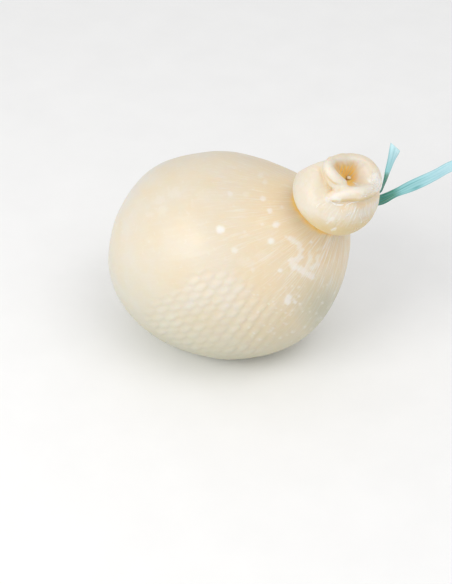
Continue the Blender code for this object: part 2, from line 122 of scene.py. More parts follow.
def fade(value, start, span):
    """A soft step from 0 at the start to 1 a span further on, or back if it's negative."""
    return smooth((value - start) / span)


def full_turn(count):
    """Angles evenly round a circle."""
    return np.linspace(0.0, 2.0 * math.pi, count, endpoint=False)


def run_so_far(steps):
    """The distance covered before each step and after the last."""
    return np.concatenate([[0.0], np.cumsum(steps)])


def unit(v):
    """The same direction, one metre long."""
    v = np.asarray(v, float)
    return v / np.linalg.norm(v)


def units(rows):
    """The same directions, each one metre long."""
    return rows / np.linalg.norm(rows, axis=1)[:, None]


def curve(start, leave, finish, arrive, t):
    """A bend from start to finish as t goes from 0 to 1, with set directions at both."""
    return (start * (1 + 2 * t) * (1 - t) ** 2 + leave * t * (1 - t) ** 2
            + finish * t * t * (3 - 2 * t) - arrive * t * t * (1 - t))


def hills(points, size, seed):
    """Smooth random heights from -1 to 1, each hill about the given size across."""
    places = np.asarray(points) / size + 7.31 * (seed + 1)
    cell = np.floor(places).astype(int)
    part = smooth(places - cell)
    total = np.zeros(places.shape[:-1])
    for corner in range(8):
        step = np.array([corner & 1, corner >> 1 & 1, corner >> 2 & 1])
        share = np.prod(np.where(step, part, 1.0 - part), axis=-1)
        spot = (cell + step) % 32
        total += share * HILLS[spot[..., 0], spot[..., 1], spot[..., 2]]
    return total


def through(values, count):
    """A smooth run of rows through the given rows, evenly spaced along the way."""
    values = np.asarray(values, float)
    slope = np.gradient(values, axis=0)
    fine = np.linspace(0.0, len(values) - 1.0, 40 * len(values))
    index = np.minimum(fine.astype(int), len(values) - 2)
    t = (fine - index)[:, None]
    run = curve(values[index], slope[index], values[index + 1], slope[index + 1], t)
    steps = np.linalg.norm(np.diff(run[:, :3], axis=0), axis=1)
    reach = run_so_far(steps)
    even = np.linspace(0.0, reach[-1], count)
    return np.stack([np.interp(even, reach, column) for column in run.T], axis=1)


def skin(rings, looped=False):
    """Corners and faces of a closed body: equal rings with a fan at each end, or a hoop."""
    rings = np.asarray(rings)
    layers, count, _ = rings.shape
    index = np.arange(layers * count).reshape(layers, count)
    near = index if looped else index[:-1]
    far = np.roll(index, -1, axis=0) if looped else index[1:]
    quads = np.stack([near, np.roll(near, -1, 1), np.roll(far, -1, 1), far], -1).reshape(-1, 4)
    corners = rings.reshape(-1, 3)
    faces = quads.tolist()
    if not looped:
        corners = np.vstack([corners, rings[[0, -1]].mean(axis=1)])
        for j in range(count):
            k = (j + 1) % count
            faces.append((layers * count, k, j))
            faces.append(((layers - 1) * count + j, (layers - 1) * count + k, layers * count + 1))
    return corners, faces


def mesh_object(name, bodies):
    """One smooth-shaded object from several closed bodies, their faces turned outward."""
    corners = []
    faces = []
    for body_corners, body_faces in bodies:
        first = len(corners)
        corners.extend(np.asarray(body_corners).tolist())
        faces.extend([[first + i for i in face] for face in body_faces])
    mesh = bpy.data.meshes.new(name)
    mesh.from_pydata(corners, [], faces)
    bm = bmesh.new()
    bm.from_mesh(mesh)
    bmesh.ops.recalc_face_normals(bm, faces=bm.faces)
    bm.to_mesh(mesh)
    bm.free()
    mesh.shade_smooth()
    obj = bpy.data.objects.new(name, mesh)
    bpy.context.collection.objects.link(obj)
    return obj


def read_rows(items, field, width, kind):
    """What a mesh keeps for each of its items, as rows of numbers."""
    flat = np.empty(width * len(items), kind)
    items.foreach_get(field, flat)
    return flat.reshape(-1, width)


def get_points(obj):
    return read_rows(obj.data.vertices, "co", 3, np.float32).astype(float)


def get_normals(obj):
    return read_rows(obj.data.vertex_normals, "vector", 3, np.float32).astype(float)


def set_points(obj, points):
    obj.data.vertices.foreach_set("co", np.asarray(points, np.float32).ravel())
    obj.data.update()


def keep_values(obj, **named):
    """Store a number or a place for each point of the mesh, for a material to read."""
    for name, values in named.items():
        kind, field = ("FLOAT", "value") if np.ndim(values) == 1 else ("FLOAT_VECTOR", "vector")
        layer = obj.data.attributes.new(name, kind, "POINT")
        layer.data.foreach_set(field, np.asarray(values, np.float32).ravel())


def triangles(obj):
    return sum(len(p.vertices) - 2 for p in obj.data.polygons)


def tube(places, radii, sides, cap):
    """A closed round tube through the places, with a round cap of a few rings at each end."""
    tangents = units(np.gradient(places, axis=0))
    askew = tangents[len(tangents) // 2] + np.array([0.31, 0.17, 0.93])
    side = units(np.cross(tangents, askew))
    other = np.cross(tangents, side)
    turn = full_turn(sides)[:, None]
    wheel = np.cos(turn) * side[:, None] + np.sin(turn) * other[:, None]
    rings = []
    for swing in np.linspace(0.5 * math.pi, 0.0, cap, endpoint=False):
        start = places[0] - radii[0] * math.sin(swing) * tangents[0]
        rings.append(start + (radii[0] * math.cos(swing) + 1e-5) * wheel[0])
    rings.extend(places[:, None] + np.asarray(radii)[:, None, None] * wheel)
    for swing in np.linspace(0.0, 0.5 * math.pi, cap + 1)[1:]:
        finish = places[-1] + radii[-1] * math.sin(swing) * tangents[-1]
        rings.append(finish + (radii[-1] * math.cos(swing) + 1e-5) * wheel[-1])
    return skin(rings)


# %% [markdown]
# ## The shape of the pear
#
# The body is a pear that droops: its blunt end is low and its neck points up. Turning a
# profile round a straight axis would be the usual way, but the cheese has sunk under its own
# weight, so the axis itself is bent, and the rings stand across that bent axis. These are
# the same few sizes that the plain solid is made from.

# %% Pear sizes
BODY_RADIUS = 0.0590
BODY_TALLNESS = 1.08
POLE_LENGTH = 0.0700
SHOULDER_LENGTH = 0.0875
BLUNT_END_POWER = 1.87
SHOULDER_POWER = 2.35
SHOULDER_TAPER = 1.0
AXIS_RISE_POLE = math.radians(21.0)
AXIS_RISE_NECK = math.radians(47.7)
REST_SINK = 0.009
REST_ROUNDING = 0.0016
NECK_RADIUS = 0.0120
NECK_HALF_LENGTH = 0.0030
GATHERS = 17
GATHER_DEPTH = 0.0005
GATHER_REACH = 0.011
# where the soft cheese has slumped out of round: place along the centreline, side that
# swells in degrees from the top toward the front, and how far it stands out of round
SWELLS = (
    (-0.030, 350.0, 0.0035),
    (-0.025, 135.0, -0.0015),
    (0.028, 160.0, 0.0015),
    (0.062, 180.0, -0.0035),
)
SWELL_REACH = 0.020


def body_profile(x):
    """Radius of the pear at the distance x along its bent axis."""
    back = np.clip(-x / POLE_LENGTH, 0.0, 1.0)
    blunt = np.clip(1.0 - back ** BLUNT_END_POWER, 0.0, 1.0) ** (1.0 / BLUNT_END_POWER)
    ahead = np.clip(x / (SHOULDER_LENGTH - NECK_HALF_LENGTH), 0.0, 1.0)
    fall = np.clip(1.0 - ahead ** SHOULDER_POWER, 0.0, 1.0) ** SHOULDER_TAPER
    ahead_radius = NECK_RADIUS + (BODY_RADIUS - NECK_RADIUS) * fall
    return np.where(x < 0.0, BODY_RADIUS * blunt, ahead_radius)


def centreline(x):
    """Places and rise angles of the bent axis, its widest place at the zero."""
    fine = np.linspace(-POLE_LENGTH, SHOULDER_LENGTH, 1200)
    bend_start = -0.3 * POLE_LENGTH
    turn = smooth((fine - bend_start) / (SHOULDER_LENGTH - bend_start))
    rise = AXIS_RISE_POLE + (AXIS_RISE_NECK - AXIS_RISE_POLE) * turn
    columns = []
    for wave in (np.cos, np.sin):
        column = run_so_far(0.5 * (wave(rise[1:]) + wave(rise[:-1])) * np.diff(fine))
        columns.append(np.interp(x, fine, column - np.interp(0.0, fine, column)))
    along, up = columns
    return np.stack([along, np.zeros(len(x)), up], axis=-1), np.interp(x, fine, rise)


def gather_wave(angles):
    """Uneven round folds with sharp valleys between them, from -1 to 1."""
    wander = 0.35 * np.sin(2.0 * angles + 0.7) + 0.22 * np.sin(5.0 * angles + 2.1)
    return 2.0 * np.abs(np.sin(0.5 * GATHERS * angles + wander)) - 1.0


def sag(x, angles):
    """How far the body is out of round, as a share of its radius."""
    share = np.zeros((len(x), len(angles)))
    for place, side, height in SWELLS:
        along = np.exp(-((x - place) / SWELL_REACH) ** 2)
        around = np.clip(np.cos(angles - math.radians(side)), 0.0, 1.0) ** 2
        share += along[:, None] * around[None] * height / BODY_RADIUS
    return share * smooth((SHOULDER_LENGTH - 0.004 - x) / 0.020)[:, None]


def body_rings(x, angles):
    """Rings of the pear across its bent axis, with the gathers near the tie."""
    places, rise = centreline(x)
    radius = body_profile(x)
    drawn = smooth(1.0 - (SHOULDER_LENGTH - NECK_HALF_LENGTH - x) / GATHER_REACH)
    tall = 1.0 + (BODY_TALLNESS - 1.0) * smooth((radius - NECK_RADIUS) / (0.5 * BODY_RADIUS))
    up = np.stack([-np.sin(rise), np.zeros(len(x)), np.cos(rise)], axis=-1)[:, None]
    reach = radius[:, None] * (1.0 + sag(x, angles))
    reach = reach + gather_wave(angles)[None] * GATHER_DEPTH * drawn[:, None]
    out = tall[:, None, None] * np.cos(angles)[None, :, None] * up
    out = out + np.sin(angles)[None, :, None] * np.array([0.0, -1.0, 0.0])
    return places[:, None] + reach[:, :, None] * out


def rest_shift():
    """How far the pear moves so that its flat spot is centred on the origin."""
    x = np.linspace(-POLE_LENGTH, SHOULDER_LENGTH, 240)
    low = body_rings(x, np.array([math.pi]))[:, 0]
    lowest = low[:, 2].min()
    sunk = low[low[:, 2] < lowest + REST_SINK, 0]
    return np.array([-0.5 * (sunk.min() + sunk.max()), 0.0, -lowest - REST_SINK])


def settle(points):
    """Flatten the belly where the cheese rests."""
    z = points[..., 2]
    soft = (z + REST_ROUNDING) ** 2 / (4.0 * REST_ROUNDING)
    points[..., 2] = np.where(z < -REST_ROUNDING, 0.0, np.where(z < REST_ROUNDING, soft, z))
    return points


neck_along = np.array([math.cos(AXIS_RISE_NECK), 0.0, math.sin(AXIS_RISE_NECK)])
neck_up = np.array([-math.sin(AXIS_RISE_NECK), 0.0, math.cos(AXIS_RISE_NECK)])
neck_across = np.array([0.0, -1.0, 0.0])


def round_neck(angle):
    """The way out from the neck's axis, at an angle from its top toward the front."""
    return np.cos(angle)[..., None] * neck_up + np.sin(angle)[..., None] * neck_across


shift = rest_shift()
tie_middle = centreline(np.array([SHOULDER_LENGTH]))[0][0] + shift
print("middle of the tie", tie_middle.round(4))

# %% [markdown]
# ## The ribbon's free ends
#
# The tie is a flat, glassy raffia ribbon. Its knot sits behind the head, and two ends stick
# out stiffly to the right: a short one that stands up and a long one that runs out of the
# picture. Each end is a strip along a given route that is also turned about its own
# length, so that it leaves the knot nearly edge-on and opens towards its cut end.
# It could be a flat plane with thickness added, but a real ribbon keeps a crease from being
# folded and fine ribs from the plant fibre, so each cross-section is drawn with both.

# %% Ribbon ends
KNOT_ANGLE = math.radians(235.0)
KNOT_REACH = 0.0176
RIBBON_WIDTH = 0.0066
RIBBON_THICKNESS = 0.0003
RIBBON_FOLD = 0.0007
RIBBON_PINCH = 0.38
RIBBON_SPREAD = 0.011
RIBBON_SLANT = 0.0036
RIBBON_FLAT_SIDE = (0.237, -0.728, 0.643)
CREASE_PLACE = -0.45                           # across the strip, its edges at -1 and 1
RIB_HEIGHT = 0.00006
PLEAT_HEIGHT = 0.00045
FRAY = 0.00012
# a station of an end: its place from the knot, and how far the strip is turned, in degrees
SHORT_END = (
    ((0.0022, 0.0022, 0.0034), 80.0),
    ((0.0080, 0.0060, 0.0056), 82.0),
    ((0.0128, 0.0086, 0.0058), 78.0),
    ((0.0142, 0.0121, 0.0104), 68.0),
    ((0.0148, 0.0163, 0.0158), 55.0),
    ((0.0157, 0.0201, 0.0220), 40.0),
    ((0.0165, 0.0231, 0.0284), 6.0),
)
LONG_END = (
    ((0.0035, 0.0014, 0.0002), 30.0),
    ((0.0090, 0.0045, 0.0016), 30.0),
    ((0.0142, 0.0072, 0.0017), 28.0),
    ((0.0218, 0.0125, 0.0049), 40.0),
    ((0.0315, 0.0210, 0.0077), 6.0),
    ((0.0398, 0.0300, 0.0092), 22.0),
    ((0.0470, 0.0385, 0.0110), 24.0),
    ((0.0590, 0.0500, 0.0122), 24.0),
)
RIBS = 9
knot_out = round_neck(KNOT_ANGLE)
knot = tie_middle + KNOT_REACH * knot_out


def ribbon_shade(along, across, patches):
    """How much painted shade darkens the strip at its edges, in its crease and in soft patches."""
    share = along[:, None] / along[-1]
    place = np.stack(np.broadcast_arrays(6.0 * across[None], along[:, None] / 0.016, along[-1]), -1)
    shade = 0.30 * fade(np.abs(across), 0.84, 0.12)[None] + 0.20 * smooth(hills(place, 1.0, 21))
    crease = np.exp(-((across[None] - CREASE_PLACE) / 0.10) ** 2)
    shade = shade + 0.55 * crease * fade(share, 0.68, -0.3)
    shade = shade + 0.40 * fade(share, 0.42, -0.2) * smooth(hills(place * 1.7, 1.0, 22) + 0.2)
    for spot, strength in patches:
        near = np.exp(-((share - spot) / 0.045) ** 2 - ((across[None] - 0.6) / 0.3) ** 2)
        shade = shade + strength * near
    return np.clip(shade, 0.0, 0.8)


def ribbon_end(name, stations, count, columns, deepness, patches):
    """A free end of the ribbon: a thin creased strip, its cut end slanting."""
    rows = [(*(knot + np.array(place)), math.radians(turned)) for place, turned in stations]
    run = through(rows, count)
    places = run[:, :3]
    tangents = units(np.gradient(places, axis=0))
    broad = units(np.cross(tangents, unit(RIBBON_FLAT_SIDE)))
    deep = np.cross(tangents, broad)
    turned = run[:, 3][:, None]
    wide = np.cos(turned) * broad + np.sin(turned) * deep
    face = np.cross(wide, tangents)
    length = np.linalg.norm(np.diff(places, axis=0), axis=1).sum()
    along = np.linspace(0.0, length, count)
    across = np.linspace(-1.0, 1.0, columns)

    # the strip opens from its pinched root, and its middle line keeps a crease and ribs
    open_share = smooth(along / RIBBON_SPREAD)
    half = 0.5 * RIBBON_WIDTH * (RIBBON_PINCH + (1.0 - RIBBON_PINCH) * open_share)
    crease = 0.5 - np.abs(across - CREASE_PLACE)
    pleats = np.sin(0.5 * math.pi * RIBS * across) * (1.0 - open_share)[:, None]
    ribs = RIB_HEIGHT * np.sin(math.pi * RIBS * across + 0.6)
    lift = RIBBON_FOLD * crease + ribs + PLEAT_HEIGHT * pleats
    middle = places[:, None] + half[:, None, None] * across[None, :, None] * wide[:, None]
    middle = middle + lift[:, :, None] * face[:, None]

    # the cut slants and is a little frayed
    ahead = unit(places[-1] - places[-2])
    near_cut = 0.5 * RIBBON_SLANT * smooth(4.0 * along / length - 3.0)
    middle = middle - near_cut[:, None, None] * across[None, :, None] * ahead
    fray_place = np.stack([across * 9.0, along[-1] + 0 * across, 0 * across], -1)
    middle[-1] += (FRAY * hills(fray_place, 1.0, 3))[:, None] * ahead
    thin = 0.5 * RIBBON_THICKNESS * face[:, None]
    rings = np.concatenate([middle + thin, (middle - thin)[:, ::-1]], axis=1)
    obj = mesh_object(name, [skin(rings)])

    # both faces of the strip carry the same values; the last two belong to the end caps
    row = np.tile((along[:, None] / length) ** deepness, (1, 2 * columns)).ravel()
    side = np.tile(np.concatenate([across, across[::-1]]), count)
    shade = ribbon_shade(along, across, patches)
    shade = np.hstack([shade, shade[:, ::-1]]).ravel()
    keep_values(obj, along=np.append(row, [0.0, 1.0]), across=np.append(side, [0.0, 0.0]),
                shade=np.append(shade, [0.6, 0.1]))
    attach(obj, "root")
    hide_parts(name.replace("ribbon", "tail"))
    print(name, "is", round(1000.0 * length, 1), "mm long")
    return obj


ribbon_short = ribbon_end(
    "ribbon_short", SHORT_END, count=91, columns=25, deepness=2.0, patches=())
ribbon_long = ribbon_end(
    "ribbon_long", LONG_END, count=151, columns=25, deepness=0.82,
    patches=((0.45, 0.45), (0.29, 0.25)))

# %% [markdown]
# ## The turns round the neck and the knot
#
# Under the head the ribbon is pulled so tight that it bunches into a cord of pleats. Three
# turns lie side by side, and the knot is a real one: a tube along a trefoil, the simplest
# curve that cannot come undone. Two legs leave the turns and go into it, and two bunched
# roots come out of it and open into the free ends, so nothing hangs in the air.

# %% Tie and knot
TIE_GAP = 0.0006
TIE_TURNS = 3
TIE_WIDTH = 0.0034
TIE_THICKNESS = 0.0015
PLEATS_IN_CORD = 7
KNOT_SCALE = 0.00112
LEG_RINGS = 40
CORD_SIDES = 40
# half widths of the bunched cords: a turn along and out of the neck, the knot, legs, roots
TURN_CORD = (0.00078, 0.00082)
KNOT_CORD = (0.00125, 0.00105)
LEG_CORD = 0.00110
ROOT_CORD = 0.00145
TIE_REACH = NECK_RADIUS + GATHER_DEPTH + TIE_GAP + 0.5 * TIE_THICKNESS


def bunched(middles, side, other, flat, thick, looped):
    """A tube with lengthwise pleats: the ribbon drawn together into a cord."""
    turn = full_turn(CORD_SIDES)
    reach = 1.0 + 0.11 * np.sin(PLEATS_IN_CORD * turn + 0.8) + 0.05 * np.sin(3.0 * turn)
    twist = full_turn(len(middles))[:, None]
    reach = reach[None] * (1.0 + 0.05 * np.sin(5.0 * twist + 3.0 * turn[None]))
    rings = (middles[:, None] + (flat * reach * np.cos(turn))[:, :, None] * side[:, None]
             + (thick * reach * np.sin(turn))[:, :, None] * other[:, None])
    return skin(rings, looped)


def tie_turn(i):
    """One of the turns round the neck, wandering a little up and down."""
    angle = full_turn(220)
    out = round_neck(angle)
    offset = (i - 0.5 * (TIE_TURNS - 1)) * TIE_WIDTH / TIE_TURNS
    wander = 0.00015 * np.sin(3.0 * angle + 2.0 * i)
    reach = TIE_REACH - 0.0004 + 0.0001 * np.sin(4.0 * angle + i)
    middles = tie_middle + (offset + wander)[:, None] * neck_along + reach[:, None] * out
    along = np.tile(neck_along, (len(angle), 1))
    return bunched(middles, along, out, *TURN_CORD, True)


def knot_cord():
    """The knot: a bunched cord along a trefoil, flat against the neck."""
    t = full_turn(260)
    flat_a = np.cross(neck_along, knot_out)
    trefoil = np.stack([np.sin(t) + 2.0 * np.sin(2.0 * t),
                        np.cos(t) - 2.0 * np.cos(2.0 * t), -np.sin(3.0 * t)], axis=-1)
    middles = knot + KNOT_SCALE * (trefoil[:, :1] * flat_a + trefoil[:, 1:2] * neck_along
                                   + 0.85 * trefoil[:, 2:] * knot_out)
    tangents = units(np.roll(middles, -1, 0) - np.roll(middles, 1, 0))
    side = units(np.cross(tangents, knot_out))
    return bunched(middles, side, np.cross(side, tangents), *KNOT_CORD, True)


def leg(places, radius, last_share):
    """A bunched cord through a few places, thinner toward its last one."""
    middles = through(places, LEG_RINGS)
    tangents = np.gradient(middles, axis=0)
    side = units(np.cross(tangents, neck_along))
    other = units(np.cross(side, tangents))
    share = np.linspace(0.0, 1.0, LEG_RINGS)[:, None] ** 2
    reach = radius * (1.0 + (last_share - 1.0) * share)
    return bunched(middles, side, other, reach, reach, False)


def leg_to_knot(way):
    """The strand that leaves the turns on one side of the knot and goes into it."""
    route = ((0.80, TIE_REACH), (0.50, TIE_REACH + 0.0004),
             (0.24, TIE_REACH + 0.0018), (0.04, KNOT_REACH))
    places = [tie_middle + reach * round_neck(KNOT_ANGLE + way * turned)
              for turned, reach in route]
    return leg(places, LEG_CORD, 1.0)


def root_of_end(stations):
    """The bunched strand from inside the knot that opens into a free end."""
    first, second = np.array(stations[0][0]), np.array(stations[1][0])
    route = (0.1 * first, 0.6 * first, first, 0.55 * first + 0.45 * second)
    return leg([knot + place for place in route], ROOT_CORD, 0.35)


turns = [tie_turn(i) for i in range(TIE_TURNS)]
legs = [leg_to_knot(-1.0), leg_to_knot(1.0), root_of_end(SHORT_END), root_of_end(LONG_END)]
tie = mesh_object("tie", turns + [knot_cord()] + legs)
no_values = np.zeros(len(tie.data.vertices))
# the tie reads the start of the ramp: darkest green, from many layers and painted shade under the head
keep_values(tie, along=no_values, across=no_values, shade=no_values)
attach(tie, "root")
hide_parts("neck_tie")
print("tie", triangles(tie), "triangles")

# %% [markdown]
# ## The skin of the body
#
# The body is laid out as rings too, but far more of them, so that the low relief is real
# shape. The rings are even along the skin, and the points on each ring stand closest
# together on the side where the skin shows the most relief.
#
# The relief has four layers. Large soft hills make the hand-formed unevenness. Streaks run
# from the blunt end to the neck, where the curd was stretched. Behind the neck the skin is
# drawn in gathers. And low on the side there is the imprint of the woven mat on which the
# cheese was turned: staggered leaf-shaped bumps, a few tenths of a millimetre high.

# %% Body grid
BODY_AROUND = 400
BODY_ALONG = 236
DENSE_SIDE = math.radians(100.0)
DENSE_SHARE = 0.55


def crowded_angles(count):
    """Angles round the body, closest together on its dense side."""
    fine = np.linspace(0.0, 2.0 * math.pi, 4001)
    density = 1.0 + DENSE_SHARE * np.cos(fine - DENSE_SIDE)
    reach = run_so_far(0.5 * (density[1:] + density[:-1]))
    return np.interp(np.linspace(0.0, reach[-1], count, endpoint=False), reach, fine)


def even_along(count):
    """Distances along the axis whose rings are evenly spaced along the skin."""
    swing = np.linspace(0.0, 0.5 * math.pi, 1500)[1:]
    fine = np.concatenate([-POLE_LENGTH * np.cos(swing), SHOULDER_LENGTH * np.sin(swing)])
    radius = body_profile(fine)
    reach = run_so_far(np.hypot(np.diff(fine), np.diff(radius)))
    return np.interp(np.linspace(0.0, reach[-1], count), reach, fine)


angles = crowded_angles(BODY_AROUND)
stations = even_along(BODY_ALONG)
body_base = settle(body_rings(stations, angles) + shift)
span_along = np.gradient(body_base, axis=0)
span_around = np.roll(body_base, -1, 1) - np.roll(body_base, 1, 1)
body_out = np.cross(span_around, span_along)
body_out /= np.maximum(np.linalg.norm(body_out, axis=2), 1e-12)[..., None]
inward = ((body_out * (body_base - body_base.mean(axis=(0, 1)))).sum(-1) < 0.0).mean() > 0.5
body_out = -body_out if inward else body_out
body_out[0] = body_out[1]
print("body grid", body_base.shape, "turned" if inward else "outward")

# %% [markdown]
# ### The mat's imprint
#
# The bumps stand on a slanting lattice: each row is shifted by a little more than half a
# bump from the row above. They lean up to the right, and lean more steeply and stretch
# further towards the middle of the cheese, where they fade out. The lattice is set in the
# picture, because that is where it was measured, and is eased round the curve of the body
# so that it doesn't smear at the edges.

# %% Imprint
BODY_MIDDLE = np.array([228.0, 256.0])         # of the body's outline in the picture
BODY_HALF = np.array([118.0, 104.0])
WRAP = 0.35                                    # how far the lattice is eased round the curve
LATTICE_START = np.array([188.3, 306.9])
ALONG_ROW = np.array([14.4, -2.9])             # from one bump to the next in its row
NEXT_ROW = np.array([7.9, 6.9])                # to the nearest bump of the row below
BUMP_HALF_LENGTH = 8.4
BUMP_HALF_WIDTH = 4.0
IMPRINT_HEIGHT = 0.00052
IMPRINT_TOP = ((140, 306), (150, 299), (170, 289), (185, 275), (200, 266),
               (225, 264), (245, 272), (262, 286), (285, 302), (300, 312))
IMPRINT_LEAN = ((140, 17), (190, 25), (225, 33), (255, 42), (290, 50))  # place across, degrees
IMPRINT_STRETCH = ((150, 1.0), (235, 1.0), (290, 1.25))                 # place across, times


def picture_places(points):
    """Places in the picture, eased round the curve of the body, and how near its edge."""
    across, down = in_picture(points)
    gap = (np.stack([across, down], -1) - BODY_MIDDLE) / BODY_HALF
    far = np.clip(np.linalg.norm(gap, axis=-1), 1e-6, 0.995)
    eased = (1.0 - WRAP) + WRAP * np.arcsin(far) / far
    return BODY_MIDDLE + gap * eased[..., None] * BODY_HALF, across, down, far


def imprint(points, facing):
    """Height of the mat's imprint, and how strongly it shows."""
    places, across, down, far = picture_places(points)
    lattice = np.stack([ALONG_ROW, NEXT_ROW])
    cell = np.round((places - LATTICE_START) @ np.linalg.inv(lattice.T).T).astype(int)
    lean = np.radians(np.interp(across, *np.transpose(IMPRINT_LEAN)))
    half_length = BUMP_HALF_LENGTH * np.interp(across, *np.transpose(IMPRINT_STRETCH))
    height = np.zeros(places.shape[:-1])
    for step in np.ndindex(5, 5):
        spot = cell + np.array(step) - 2
        dice, other = (HILLS[spot[..., 0] % 32, spot[..., 1] % 32, i] for i in (5, 9))
        middle = LATTICE_START + spot @ lattice + np.stack([1.1 * dice, 0.8 * other], -1)
        gap = places - middle
        long = (gap[..., 0] * np.cos(lean) - gap[..., 1] * np.sin(lean)) / half_length
        broad = (gap[..., 0] * np.sin(lean) + gap[..., 1] * np.cos(lean)) / BUMP_HALF_WIDTH
        bump = np.clip(1.0 - long ** 2 - broad ** 2, 0.0, 1.0) ** 0.8
        height = np.maximum(height, bump * (0.86 + 0.24 * other) * (1.0 + 0.25 * broad))
    top_edge = np.interp(across, *np.transpose(IMPRINT_TOP))
    strength = fade(across, 138.0, 14.0) * fade(across, 304.0, -54.0)
    strength = strength * smooth((down - top_edge + 5.0) / 20.0) * fade(far, 0.995, -0.06)
    return height, strength * (facing > 0.0)


facing = body_out @ towards
bumps, imprint_share = imprint(body_base, facing)

# %% [markdown]
# ### Streaks and hills
#
# Streaks that run lengthwise are hills sampled in a stretched way: finely round the body and
# coarsely along it. They are strongest near the neck, where the curd was drawn together,
# and low on the right side.

# %% Relief of the body
HILL_HEIGHT = 0.00045
STREAK_HEIGHT = 0.00016
PIT_HEIGHT = 0.00002
along_axis = np.tile(stations[:, None], (1, BODY_AROUND))
around = np.stack([np.cos(angles), np.sin(angles)], -1)[None]
around = np.broadcast_to(around, (BODY_ALONG, BODY_AROUND, 2))
streak_place = np.concatenate([around, along_axis[..., None]], axis=-1)
coarse = hills(streak_place * np.array([18.0, 18.0, 30.0]), 1.0, 1)
medium = hills(streak_place * np.array([34.0, 34.0, 45.0]), 1.0, 2)
base_across, base_down = in_picture(body_base)
toward_neck = fade(stations, -0.010, 0.075)[:, None]
low_right = fade(base_across, 255.0, 50.0) * fade(base_down, 215.0, 40.0)
right_side = fade(base_across, 305.0, 34.0) * fade(base_down, 205.0, 30.0)
streak_share = 0.25 + 0.75 * np.maximum(toward_neck, 0.8 * low_right)
streak_share = streak_share * (1.0 - 0.8 * imprint_share)

relief = HILL_HEIGHT * (hills(body_base, 0.030, 3) + 0.35 * hills(body_base, 0.013, 4))
relief += PIT_HEIGHT * hills(body_base, 0.0045, 5)
relief += STREAK_HEIGHT * (0.6 * coarse + 0.5 * medium) * streak_share
relief += IMPRINT_HEIGHT * (bumps - 0.45) * imprint_share
clear_of_rest = smooth(body_base[..., 2] / 0.004)
near_tie = smooth((SHOULDER_LENGTH - 0.002 - stations) / 0.006)[:, None]
body_points = body_base + (relief * clear_of_rest * near_tie)[..., None] * body_out
drawn = 0.06 + 0.26 * toward_neck ** 2 + 0.24 * low_right + 0.90 * right_side
drawn = np.clip(drawn, 0.0, 1.0) * (1.0 - 0.8 * imprint_share)
body = mesh_object("cheese_body", [skin(body_points)])
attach(body, "root")
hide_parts("cheese")
print("body", triangles(body), "triangles, relief", round(1000.0 * np.ptp(relief), 2), "mm")

# %% [markdown]
# ## The head and its rolled mouth
#
# The head is a ball over the neck, flattened where it leans towards the body. Its mouth is
# the tucked end of the curd: the rim rolls over into a lip as thick as a pencil, one end of
# the roll is a free finger that points into the mouth, the other fades into the ball in
# front, and inside the curd falls into a pleated hollow.
#
# One sheet of rings makes the ball, the roll and the hollow. The two loose ends are tubes
# that overlap it. A Boolean union would leave sharp seams, so the pieces are melted into
# one with a fine voxel remesh and then softened, much as warm curd closes up on itself.

# %% Head sizes
HEAD_RADIUS = 0.0242
HEAD_OFFSET = (0.0011, -0.0068, 0.0152)
BELT_LATITUDE = math.radians(-20.0)
ARCH_END = math.radians(54.0)
MOUTH_DIRECTION = (0.483, -0.095, 0.871)
MOUTH_ZERO = math.radians(204.2)
FLAT_DIRECTION = (-0.620, 0.740, 0.260)
FLAT_CUT = 0.25
FLAT_SPREAD = 0.235
HOLLOW_FLOOR = (0.0022, 0.0040, 0.0078)
ROLL_END_BACK = math.radians(116.0)            # where the wall leaves the roll, at the back
ROLL_END_FRONT = math.radians(176.0)           # and at the front, where the roll overhangs
PLEATS = 17
PLEAT_DEPTH = 0.0014
# a station of the lip: angle round the mouth, distance of the roll's middle from the
# mouth's axis, its height along that axis, and the roll's radius
LIP = (
    (-112.0, 0.0134, 0.0166, 0.0034),
    (-97.0, 0.0144, 0.0185, 0.0036),
    (-85.0, 0.0147, 0.0195, 0.0039),
    (-58.0, 0.0133, 0.0196, 0.0038),
    (-35.0, 0.0138, 0.0195, 0.0034),
    (-12.0, 0.0136, 0.0192, 0.0037),
    (13.0, 0.0128, 0.0186, 0.0045),
    (37.0, 0.0120, 0.0181, 0.0049),
    (58.0, 0.0108, 0.0179, 0.0049),
    (84.0, 0.0095, 0.0176, 0.0043),
    (120.0, 0.0094, 0.0173, 0.0038),
    (155.0, 0.0116, 0.0183, 0.0032),
    (174.0, 0.0140, 0.0181, 0.0031),
    (191.0, 0.0139, 0.0167, 0.0034),
    (208.0, 0.0131, 0.0157, 0.0036),
    (226.0, 0.0123, 0.0153, 0.0036),
)
# a station of a loose end: its place on the head, and the roll's radius
FINGER = (
    ((-0.0134, 0.0032, 0.0189), 0.0027),
    ((-0.0158, -0.0026, 0.0196), 0.0029),
    ((-0.0136, -0.0067, 0.0196), 0.0029),
    ((-0.0101, -0.0086, 0.0190), 0.0028),
    ((-0.0068, -0.0092, 0.0182), 0.0026),
)
FRONT_TAIL = (
    ((0.0069, -0.0113, 0.0196), 0.0036),
    ((0.0014, -0.0142, 0.0194), 0.0038),
    ((-0.0020, -0.0149, 0.0183), 0.0037),
    ((-0.0060, -0.0154, 0.0158), 0.0034),
    ((-0.0088, -0.0147, 0.0126), 0.0031),
    ((-0.0106, -0.0136, 0.0092), 0.0028),
)
mouth_axis = unit(MOUTH_DIRECTION)
first = unit(neck_up - mouth_axis * (neck_up @ mouth_axis))
second = np.cross(mouth_axis, first)
mouth_across = math.cos(MOUTH_ZERO) * first + math.sin(MOUTH_ZERO) * second
mouth_over = -math.sin(MOUTH_ZERO) * first + math.cos(MOUTH_ZERO) * second
head_middle = tie_middle + np.array(HEAD_OFFSET)


def on_head(place):
    return head_middle + place[0] * mouth_across + place[1] * mouth_over + place[2] * mouth_axis


